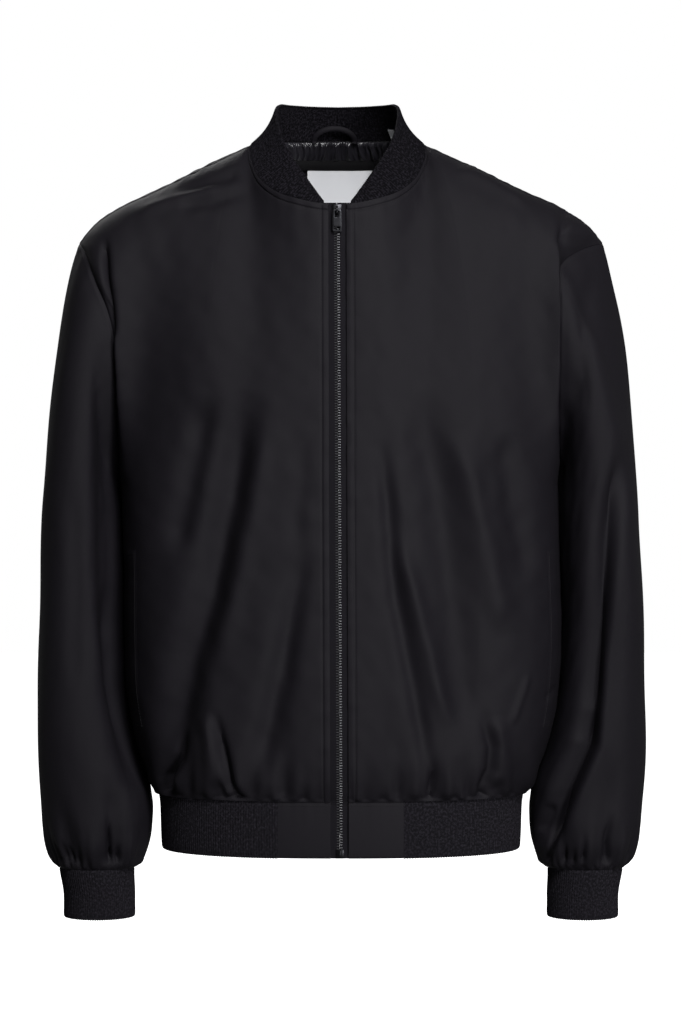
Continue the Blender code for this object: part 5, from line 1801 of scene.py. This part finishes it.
    def hem(self) -> None:
        """Makes the ribbed part of the hem."""
        gap = self.form.seam_gap / self.hem_half_width
        start, end = self.angle_at(self.tab_edge) + gap, 2 * math.pi + self.angle_at(-self.tab_edge) - gap
        ribs = round(shares_along(self.ring(start, end, 800))[1] / self.hem_pitch)
        self.level_band("hem_band", "hem_rib", self.ring(start, end, ribs * self.facets), ribbed=True)

    def level_band(self, name: str, stands_for: str, ring: Array, ribbed: bool) -> None:
        """Makes a band of the hem between its seam and its folded lower edge.

        Args:
            name: The piece's name.
            stands_for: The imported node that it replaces.
            ring: Its places, at height zero.
            ribbed: Whether it is ribbed or plain.
        """
        top, low = self.form.hem_seam, self.form.hem_bottom
        heights = band_heights(top, low, 9)
        normals = np.broadcast_to(self.ring_normals(ring), (len(heights), *ring.shape))
        places = ring + UP * heights[:, None, None]
        along = np.broadcast_to(run_lengths(ring[None], 1)[0], places.shape[:2])
        pull = waves(along, 0.016, 31, 5) * np.exp(-(top - heights) / 0.012)[:, None] * 0.0003
        belly = 0.0009 * np.sin(np.clip((top - heights) / (top - low), 0, 1) * math.pi)[:, None]
        edge = np.exp(-np.minimum(top - heights, heights - low) / 0.0011)[:, None] * 0.0006
        beside = smooth_step((np.abs(ring[:, 0]) - 0.12) / 0.05)
        flare = 0.0034 * np.exp(-(top - heights) / 0.010)[:, None] * beside
        places = places + normals * (belly + pull + flare - edge)[..., None]
        if ribbed:
            fade = smooth_step((top - heights) / 0.004 + 0.2)[:, None] * np.ones(places.shape[:2])
            piece = self.band(name, stands_for, places, normals, fade)
            return
        cloth = np.stack([along, np.broadcast_to(-heights[:, None], along.shape)], axis=-1)
        mesh = shell_mesh(name, places, places - normals * self.tab_wall, cloth)
        piece = Piece(name, stands_for, "shell", [self.finishes.shell] * 2).make(mesh)

    def tab(self, hand: Hand) -> None:
        """Makes one of the plain tabs beside the zip at the hem."""
        near = float(self.form.zip_side(-0.67)) + hand.value * self.form.zip_opening_half
        ring = self.ring(self.angle_at(near), self.angle_at(hand.value * self.tab_edge), 34)
        self.level_band(f"hem_tab_cloth_{hand.tag}", f"hem_tab_{hand.tag}", ring, ribbed=False)
        normals = self.ring_normals(ring)
        for height in (self.form.hem_seam - self.tab_stitch, self.form.hem_bottom + self.tab_stitch):
            self.stitched.append(Line(ring + UP * height + normals * 0.0007, normals))

    def cuff(self, hand: Hand) -> None:
        """Makes a cuff."""
        count = round(2 * math.pi * self.cuff_top_half / self.cuff_pitch) * self.facets
        angle = np.arange(count) / count * 2 * math.pi
        way = np.stack([np.cos(angle), np.sin(angle), 0 * angle], axis=-1)
        top, low = self.cuff_top - self.form.seam_gap, self.cuff_bottom
        heights = band_heights(top, low, 8)
        share = (top - heights) / (top - low)
        half = self.cuff_top_half + (self.cuff_bottom_half - self.cuff_top_half) * share
        half = half - 0.0010 * np.sin(share * math.pi) + 0.0008 * share
        half = half - np.exp(-np.minimum(top - heights, heights - low) / 0.0011) * 0.0006
        middle = np.zeros((len(heights), 1, 3))
        middle[:, 0, 0] = hand.value * (self.cuff_centre - 0.0026 * smooth_step(share / 0.6))
        places = middle + way * half[:, None, None] + UP * heights[:, None, None]
        normals = np.broadcast_to(way, places.shape)
        fade = smooth_step((top - heights) / 0.004 + 0.2)[:, None] * np.ones(places.shape[:2])
        piece = self.band(f"cuff_band_{hand.tag}", f"cuff_{hand.tag}", places, normals, fade, around=True)

    def build(self) -> None:
        """Makes every band."""
        self.collar()
        self.hem()
        for hand in Hand:
            self.tab(hand)
            self.cuff(hand)


# ---- the zip ------------------------------------------------------------------------------------
@dataclass
class Zip:
    """The tapes, the teeth, the box, the slider and the pull tab."""

    form: BodyForm
    finishes: Finishes
    repeats: Repeats
    top: float = -0.0688
    teeth_top: float = -0.0830
    tape_reach: tuple[float, ...] = (0.0002, 0.0029, 0.0046, 0.0062, 0.0090, 0.0150)
    tape_bead: tuple[float, ...] = (0.0, -0.0004, -0.0003, 0.0, 0.0, 0.0)
    tape_wall: float = 0.0010
    setback: float = 0.0023
    tooth_pitch: float = 0.00128
    side_step: float = 0.0012
    box_height: float = 0.0088
    slider_half: float = 0.0048
    slider_length: float = 0.0125
    pivot_height: float = -0.0765
    pull_length: float = 0.0215
    pull_thickness: float = 0.0013

    def front_depth(self, height: Array | float) -> Array:
        """How far forward the cloth lies beside the zip."""
        line = self.form.place(np.zeros(200), np.linspace(0, 1, 200), Hand.LEFT, Face.FRONT)
        heights = np.concatenate([line[:, 2], [self.form.hem_seam, self.form.hem_bottom]])
        depths = np.concatenate([line[:, 1], [-0.1080, -0.1080]])
        return np.interp(-np.asarray(height), -heights, depths)

    def tape(self, hand: Hand) -> None:
        """Makes one side's tape."""
        low = self.form.hem_bottom
        heights = np.linspace(self.top, low, 180)
        reach = np.array(self.tape_reach)
        outer = np.zeros((len(heights), len(reach), 3))
        outer[..., 0] = self.form.zip_side(heights)[:, None] + hand.value * reach
        outer[..., 1] = (self.front_depth(heights) + self.setback)[:, None] + np.array(self.tape_bead)
        outer[..., 2] = heights[:, None]
        cloth = np.stack(np.broadcast_arrays(reach[None, :], -heights[:, None]), axis=-1)
        name = f"zip_tape_cloth_{hand.tag}"
        mesh = shell_mesh(name, outer, outer + np.array([0.0, self.tape_wall, 0.0]), cloth)
        piece = Piece(name, f"zip_tape_{hand.tag}", "tape", [self.finishes.tape] * 2).make(mesh)

    def teeth(self) -> None:
        """Makes the run of closed teeth as one piece."""
        heights = np.linspace(self.teeth_top, self.form.hem_bottom + self.box_height + 0.0004, 220)
        middle = self.front_depth(heights) + self.setback + self.tape_wall / 2 - 0.0002
        line = np.stack([self.form.zip_side(heights), middle, heights], axis=-1)
        mesh = bpy.data.meshes.new("zip_teeth")
        mesh.from_pydata(line.tolist(), [(i, i + 1) for i in range(len(line) - 1)], [])
        shape = rounded_box((-0.0016, -0.0015, -0.00048), (0.0016, 0.0012, 0.00048), 0.00030, 1)
        tooth = add_object("tooth", from_edit("tooth", shape, sharp=None))
        metal = self.finishes.tooth_metal
        sizes = {"Tooth Pitch": self.tooth_pitch, "Side Step": self.side_step}
        inputs = {**sizes, "Tooth": tooth, "Seed": 3, "Metal": metal}
        Piece("zip_teeth", "zip_chain", "gunmetal", [metal]).make(mesh, (self.repeats.teeth, inputs))
        bpy.data.objects.remove(tooth)

    def box(self) -> None:
        """Makes the box at the foot of the zip."""
        low = self.form.hem_bottom
        side = float(self.form.zip_side(low))
        front = float(self.front_depth(low)) + self.setback + self.tape_wall / 2
        blocks = [
            (0.0039, -0.0018, -0.0006, 0.0, self.box_height, 0.0004),
            (0.0029, -0.0012, 0.0018, 0.0, self.box_height, 0.0005),
            (0.0007, -0.0022, -0.0014, 0.0008, 0.0080, 0.0002),
        ]
        parts = []
        for half, near, far, foot, head, bevel in blocks:
            corners = (side - half, front + near, low + foot), (side + half, front + far, low + head)
            parts.append(from_edit("box", rounded_box(*corners, bevel)))
        mesh = join_meshes("zip_foot_box", parts)
        Piece("zip_foot_box", "zip_box", "gunmetal", [self.finishes.metal]).make(mesh)

    def seat(self, mesh: bpy.types.Mesh) -> bpy.types.Mesh:
        """Leans and places a mesh made round the pull's pivot, and gives it back."""
        reach = self.slider_length / 2
        upper = float(self.front_depth(self.pivot_height))
        lower = float(self.front_depth(self.pivot_height - self.pull_length))
        lean = math.atan2(upper - lower, self.pull_length)
        plane = float(self.front_depth(self.pivot_height - reach)) + reach * math.tan(lean)
        plane += self.setback + self.tape_wall / 2
        depth = plane - (self.pull_thickness / 2 + 0.0005 + 0.0011 + 0.0016)
        cosine, sine = math.cos(-lean), math.sin(-lean)
        x, y, z = np.array([v.co for v in mesh.vertices]).T
        side = x + float(self.form.zip_side(self.pivot_height))
        turned = [side, y * cosine - z * sine + depth, y * sine + z * cosine + self.pivot_height]
        mesh.vertices.foreach_set("co", np.stack(turned, axis=-1).astype(np.float32).ravel())
        mesh.update()
        return mesh

    def slider(self) -> None:
        """Makes the slider: two shaped plates, a post and the bridge."""
        face, plate, mouth, half = 0.00115, 0.0011, 0.0032, self.slider_length / 2
        parts, wide = [], self.slider_half
        for near in (face, face + plate + mouth):
            shaped = rounded_box((-wide, near, -half), (wide, near + plate, half), 0.0004)
            for vert in shaped.verts:
                vert.co.x *= 1.0 - 0.30 * float(smooth_step((-vert.co.z - 0.001) / half))
            parts.append(from_edit("plate", shaped))
        corners = (-0.0018, face + 0.0005, half - 0.003), (0.0018, face + 0.0049, half - 0.0003)
        parts.append(from_edit("post", rounded_box(*corners, 0.0003)))
        angles = np.linspace(-0.12, math.pi + 0.12, 18)
        arch = np.stack([0 * angles, face - 0.0030 * np.sin(angles), 0.0042 * np.cos(angles)], axis=-1)
        bridge = bar_mesh(arch, 0.0006, 10)
        for vert in bridge.vertices:
            vert.co.x *= 1.8
        mesh = self.seat(join_meshes("slider", [*parts, bridge]))
        Piece("slider", "zip_slider", "gunmetal", [self.finishes.metal]).make(mesh)

    def pull(self) -> None:
        """Makes the pull tab: a rounded plate with an eye and a slot."""
        half = self.pull_thickness / 2
        rows = [0.00065, -0.0004, -0.00065, -0.0068, -0.0080, -0.0150, -0.0163, -0.0193, -0.0205, -0.0215]
        wide = [0.0030, 0.0042, 0.0044, 0.0046, 0.0048, 0.0048, 0.0048, 0.0048, 0.0046, 0.0036]
        eye_row, slot_row, eye_half, slot_half = 2, 6, 0.0021, 0.0029
        grid = bmesh.new()
        sides = []
        for row, (height, reach) in enumerate(zip(rows, wide)):
            cut = eye_half if row < 5 else slot_half
            sides.append([grid.verts.new((x, -half, height)) for x in (-reach, -cut, cut, reach)])
        for row, (upper, lower) in enumerate(zip(sides, sides[1:])):
            for col in range(3):
                if col != 1 or row not in (eye_row, slot_row):
                    grid.faces.new((upper[col], upper[col + 1], lower[col + 1], lower[col]))
        made = bmesh.ops.extrude_face_region(grid, geom=grid.faces[:])
        for item in made["geom"]:
            if isinstance(item, bmesh.types.BMVert):
                item.co.y += 2 * half
        bmesh.ops.recalc_face_normals(grid, faces=grid.faces)
        sharp = [e for e in grid.edges if len(e.link_faces) == 2 and e.calc_face_angle() > 0.9]
        bmesh.ops.bevel(grid, geom=sharp, offset=0.00022, segments=2, profile=0.5, affect="EDGES")
        piece = Piece("pull_tab", "zip_pull", "gunmetal", [self.finishes.metal], Body.PULL)
        piece.make(self.seat(from_edit("pull_tab", grid)))

    def build(self) -> None:
        """Makes the whole zip."""
        for hand in Hand:
            self.tape(hand)
        self.teeth()
        self.box()
        self.slider()
        self.pull()


# ---- the inside of the neck ---------------------------------------------------------------------
@dataclass
class NeckInside:
    """The gathered satin, the facing band, the bare label and the hanger loop."""

    form: BodyForm
    finishes: Finishes
    wall: float = 0.0018
    strip_half: float = 0.0600
    satin_top: float = 0.0140
    satin_low: float = -0.0050
    facing_low: float = -0.0140
    label_low: float = -0.0620
    label_left: float = -0.0350
    label_right: float = 0.0330
    loop_middle: float = -0.0068
    loop_half: float = 0.0208
    loop_rise: float = 0.0125
    loop_foot: float = 0.0136
    loop_sides: int = 10

    @cached_property
    def inside(self) -> tuple[Array, Array]:
        """The places and outward normals on the inside of the back's upper part."""
        share, down = np.meshgrid(np.linspace(0, 1, 81)[:46], np.linspace(0, 1, 200)[:72])
        halves = []
        for hand in Hand:
            normals = self.form.normals(share, down, hand, Face.BACK)
            halves.append((self.form.place(share, down, hand, Face.BACK) - normals * self.wall, normals))
        places, normals = (np.concatenate([left[:, :0:-1], right], axis=1) for left, right in zip(*halves))
        return places, normals

    def patch(self, sides: Array, heights: Array) -> tuple[Array, Array]:
        """Places on the inside of the back, by side and height.

        Args:
            sides: Sideways places.
            heights: Heights, running down.

        Returns:
            The places, and the ways into the neck.
        """
        found = np.zeros((len(heights), len(sides), 3))
        inwards = np.zeros(found.shape)
        for row, height in enumerate(heights):
            level = []
            for line, normal in zip(*(grid.swapaxes(0, 1) for grid in self.inside)):
                fallen = -np.minimum.accumulate(line[:, 2])
                bend = 0.0032 * (line[0, 0] / 0.062) ** 2 * smooth_step((height + 0.005) / 0.0155)
                level.append([np.interp(bend - height, fallen, values) for values in (*line.T, *normal.T)])
            level = np.array(level)
            for axis in range(3):
                found[row, :, axis] = np.interp(sides, level[:, 0], level[:, axis])
                inwards[row, :, axis] = -np.interp(sides, level[:, 0], level[:, 3 + axis])
        return found, unit(inwards)

    def layer(
        self, piece: Piece, sides: Array, heights: Array, swell: Array, thickness: float, gap: float, held: str
    ) -> None:
        """Makes a thin piece that lies inside the back neck.

        Args:
            piece: What it is.
            sides: Sideways places.
            heights: Heights, running down.
            swell: How far each place stands into the neck.
            thickness: How thick it is.
            gap: Its distance from the back.
            held: How the cloth is held; not used.
        """
        places, inwards = self.patch(sides, heights)
        under = places + inwards * gap
        front = under + inwards * (thickness + swell)[..., None]
        cloth = np.stack(np.broadcast_arrays(sides[None, :], -heights[:, None]), axis=-1)
        made = piece.make(shell_mesh(piece.name, front, under, cloth))

    def loop(self) -> None:
        """Makes the hanger loop."""
        middle, half = self.loop_middle, self.loop_half
        feet = np.array([middle - half, middle, middle + half])
        seats, inwards = self.patch(feet, np.array([self.loop_foot]))
        seats = seats[0] + inwards[0] * 0.0040
        angle = np.linspace(-0.18, math.pi + 0.18, 41)
        lift, side = np.sin(angle), middle + half * np.cos(angle)
        depth = np.interp(side, seats[:, 0], seats[:, 1]) - 0.0075 * np.maximum(lift, 0.0)
        points = np.stack([side, depth, self.loop_foot + self.loop_rise * lift], axis=-1)
        mesh = bar_mesh(points, 0.0023, self.loop_sides, (1.25, 0.55))
        along, around = np.divmod(np.arange(len(mesh.vertices)), self.loop_sides)
        give_cloth_map(mesh, np.stack([around * 0.001, along * 0.0016], axis=-1))
        Piece("loop_cloth", "hanger_loop", "shell", [self.finishes.shell]).make(mesh)

    def build(self) -> None:
        """Makes every piece inside the neck."""
        satin, facing, label = self.finishes.satin, self.finishes.lining, self.finishes.label
        sides = np.linspace(-self.strip_half, self.strip_half, 301)
        heights = np.linspace(self.satin_top, self.satin_low, 26)
        share = np.linspace(0, 1, 26)[:, None]
        hang = np.sin(share * math.pi) ** 0.6
        sway = 0.0016 * np.sin(2.6 * share + 70.0 * sides)
        pleats = 0.5 + 0.5 * waves(sides + sway, 0.0098, 74, 4) + 0.16 * waves(sides + 2 * sway, 0.0040, 72, 3)
        ruffle = 0.5 + 0.5 * waves(sides + 0 * share, 0.0026, 73, 3)
        swell = 0.0044 * np.clip(pleats, 0, 1.3) * hang
        swell = swell + 0.0014 * np.clip(ruffle, 0, 1.2) * np.exp(-(((share - 0.14) / 0.10) ** 2))
        strip = Piece("satin_strip", "neck_satin", "satin", [satin] * 2)
        self.layer(strip, sides, heights, swell, 0.0006, 0.0008, "gathered")
        sides = np.linspace(-self.strip_half, self.strip_half, 61)
        heights = np.linspace(self.satin_low + 0.0012, self.facing_low, 8)
        swell = 0.0004 * np.sin(np.linspace(0, 1, 8) * math.pi)[:, None] + 0 * sides
        band = Piece("facing_band", "neck_facing", "shell", [facing] * 2)
        self.layer(band, sides, heights, swell, 0.0011, 0.0009, "laid")
        sides = np.linspace(self.label_left, self.label_right, 41)
        heights = np.linspace(self.facing_low + 0.0004, self.label_low, 36)
        swell = 0.00025 * smooth_step((0.5 - np.abs(np.linspace(-0.5, 0.5, 41))) / 0.03) + 0 * heights[:, None]
        cloth = Piece("label_cloth", "neck_label", "label", [label] * 2)
        self.layer(cloth, sides, heights, swell, 0.0007, 0.0008, "laid")
        self.loop()


# ---- pockets and stitching ----------------------------------------------------------------------
@dataclass
class Pockets:
    """The welt of each side pocket."""

    panels: BodyPanels
    finishes: Finishes
    top: float = -0.4050
    bottom: float = -0.5820
    from_share: float = 0.770
    to_share: float = 0.862
    wall: float = 0.0005
    lift: float = 0.00006
    thread_lift: float = 0.0001
    stitched: list[Line] = field(default_factory=list)

    def on_front(self, wide: Cloth, side: float, height: float) -> tuple[float, float, float]:
        """The place on a finished front at a side and a height."""
        heights = wide.places[:, 60, 2]
        index = int(np.clip(np.searchsorted(-heights, -height), 1, len(heights) - 1))
        line = wide.places[index]
        line = line[np.argsort(line[:, 0])]
        return np.interp(side, line[:, 0], line[:, 0]), np.interp(side, line[:, 0], line[:, 1]), height

    def build(self) -> None:
        """Makes both welts."""
        form = self.panels.form
        below = (1 - form.yoke_share) / (form.hem_seam - form.underarm)
        ends = [form.yoke_share + below * (z - form.underarm) for z in (self.top, self.bottom)]
        share, down = np.meshgrid(np.linspace(self.from_share, self.to_share, 15), np.linspace(*ends, 90))
        for hand in Hand:
            wide = self.panels.half(hand, Face.FRONT)
            smooth = form.place(share, down, hand, Face.FRONT)
            normals = form.normals(share, down, hand, Face.FRONT)
            places = np.array([self.on_front(wide, side, height) for side, _, height in smooth.reshape(-1, 3)])
            places = places.reshape(smooth.shape)
            across, along = run_lengths(places, 1), run_lengths(places, 0)
            rim = np.minimum.reduce([across, across[:, -1:] - across, along, along[-1:] - along])
            under = places + normals * self.lift
            outer = under + normals * (self.wall * smooth_step(rim / 0.0050 + 0.25))[..., None]
            name = f"pocket_welt_{hand.tag}"
            mesh = shell_mesh(name, outer, under, np.stack([across, along], axis=-1))
            piece = Piece(name, f"pocket_{hand.tag}", "shell", [self.finishes.shell] * 2).make(mesh)
            inner = slice(2, -2)
            for run in ((inner, 2), (2, inner), (4, inner), (-5, inner), (-3, inner)):
                self.stitched.append(Line(outer[run] + normals[run] * self.thread_lift, normals[run]))


@dataclass
class Topstitching:
    """All the visible thread on the jacket."""

    finishes: Finishes
    repeats: Repeats
    pitch: float = 0.0030
    length: float = 0.0022
    width: float = 0.00055

    def build(self, lines: Sequence[Line]) -> None:
        """Makes the thread along every line as one piece."""
        edges, start = [], 0
        for line in lines:
            edges += [(start + i, start + i + 1) for i in range(len(line.places) - 1)]
            start += len(line.places)
        mesh = bpy.data.meshes.new("topstitching")
        mesh.from_pydata(np.concatenate([line.places for line in lines]).tolist(), edges, [])
        give_values(mesh, "out", "FLOAT_VECTOR", np.concatenate([line.outward for line in lines]))
        thread = self.finishes.thread
        inputs = {"Stitch Pitch": self.pitch, "Stitch Length": self.length, "Stitch Width": self.width}
        repeat = (self.repeats.stitches, {**inputs, "Seed": 7, "Thread": thread})
        Piece("topstitching", None, "shell", [thread]).make(mesh, repeat)


# ---- the studio ---------------------------------------------------------------------------------
@dataclass(frozen=True)
class Studio:
    """The camera, the pale floor and the soft lights."""

    distance: float = 2.7
    eye_height: float = -0.368
    view_height: float = 1.024
    sensor: float = 36.0
    floor_height: float = -0.980
    floor_reach: float = 9.0
    glow: float = 0.16

    def camera(self) -> None:
        """Sets the camera straight in front of the jacket."""
        lens = bpy.data.cameras.new("camera")
        lens.sensor_fit = "VERTICAL"
        lens.sensor_height = self.sensor
        lens.lens = self.sensor * self.distance / self.view_height
        seen = add_object("camera", lens)
        seen.location = (0.0, -self.distance, self.eye_height)
        seen.rotation_euler = (math.pi / 2, 0.0, 0.0)
        bpy.context.scene.camera = seen

    def light(self, name: str, place: tuple[float, float, float], size: float, power: float) -> None:
        """Adds a soft square light that faces the jacket's middle.

        Args:
            name: The light's name.
            place: Where it stands.
            size: Its side.
            power: Its power, in watts.
        """
        lamp = bpy.data.lights.new(name, "AREA")
        lamp.shape, lamp.size, lamp.energy = "SQUARE", size, power
        made = add_object(name, lamp)
        made.location = place
        aim = np.array([0.0, 0.0, -0.35]) - np.array(place)
        pitch = math.atan2(math.hypot(aim[0], aim[1]), -aim[2])
        made.rotation_euler = (pitch, 0.0, math.atan2(-aim[0], aim[1]))

    def floor(self) -> None:
        """Lays the pale floor."""
        mesh = bpy.data.meshes.new("floor")
        z, far = self.floor_height, self.floor_reach
        mesh.from_pydata([(-far, -far, z), (far, -far, z), (far, far, z), (-far, far, z)], [], [(0, 1, 2, 3)])
        material = bpy.data.materials.new("pale_floor")
        material.use_nodes = True
        nodes = Nodes(material.node_tree)
        inputs = {"Base Color": (0.9, 0.9, 0.9, 1.0), "Roughness": 1.0, "Specular IOR Level": 0.0}
        inputs |= {"Emission Color": (1.0, 1.0, 1.0, 1.0), "Emission Strength": 1.0}
        nodes.feed(nodes.tree.nodes["Principled BSDF"], inputs)
        mesh.materials.append(material)
        floor = add_object("floor", mesh)
        floor.visible_diffuse = False
        floor.visible_glossy = False

    def world(self) -> None:
        """Surrounds the jacket with white that lights it softly."""
        world = bpy.data.worlds.new("white_room")
        bpy.context.scene.world = world
        world.use_nodes = True
        nodes = Nodes(world.node_tree)
        white = (1.0, 1.0, 1.0, 1.0)
        lit = nodes.tree.nodes["Background"]
        nodes.feed(lit, {"Strength": self.glow, "Color": white})
        shown = nodes.first("ShaderNodeBackground", {"Strength": 1.0, "Color": white})
        path = nodes.node("ShaderNodeLightPath").outputs["Is Camera Ray"]
        mixed = nodes.first("ShaderNodeMixShader", {0: path, 1: lit.outputs[0], 2: shown})
        nodes.feed(nodes.tree.nodes["World Output"], {"Surface": mixed})

    def build(self) -> None:
        """Sets the lights, the floor and the tone of the picture."""
        self.light("key", (0.55, -2.3, 1.65), 0.8, 90.0)
        self.light("side", (1.5, -2.70, -0.45), 0.7, 66.0)
        self.light("behind", (-0.8, 2.4, 1.5), 1.4, 34.0)
        self.floor()
        self.world()
        bpy.context.scene.view_settings.view_transform = "Standard"


def main() -> None:
    """Builds the studio and the jacket in order."""
    logging.basicConfig(level=logging.INFO, format="%(message)s")
    studio = Studio()
    studio.camera()
    form = BodyForm()
    finishes = Finishes()
    repeats = Repeats()
    panels = BodyPanels(form, finishes)
    panels.build()
    Sleeves(SleeveForm(form), finishes).build()
    bands = RibbedBands(form, finishes, repeats)
    bands.build()
    Zip(form, finishes, repeats).build()
    NeckInside(form, finishes).build()
    pockets = Pockets(panels, finishes)
    pockets.build()
    Topstitching(finishes, repeats).build([*panels.stitched, *bands.stitched, *pockets.stitched])
    studio.build()


if __name__ == "__main__":
    main()
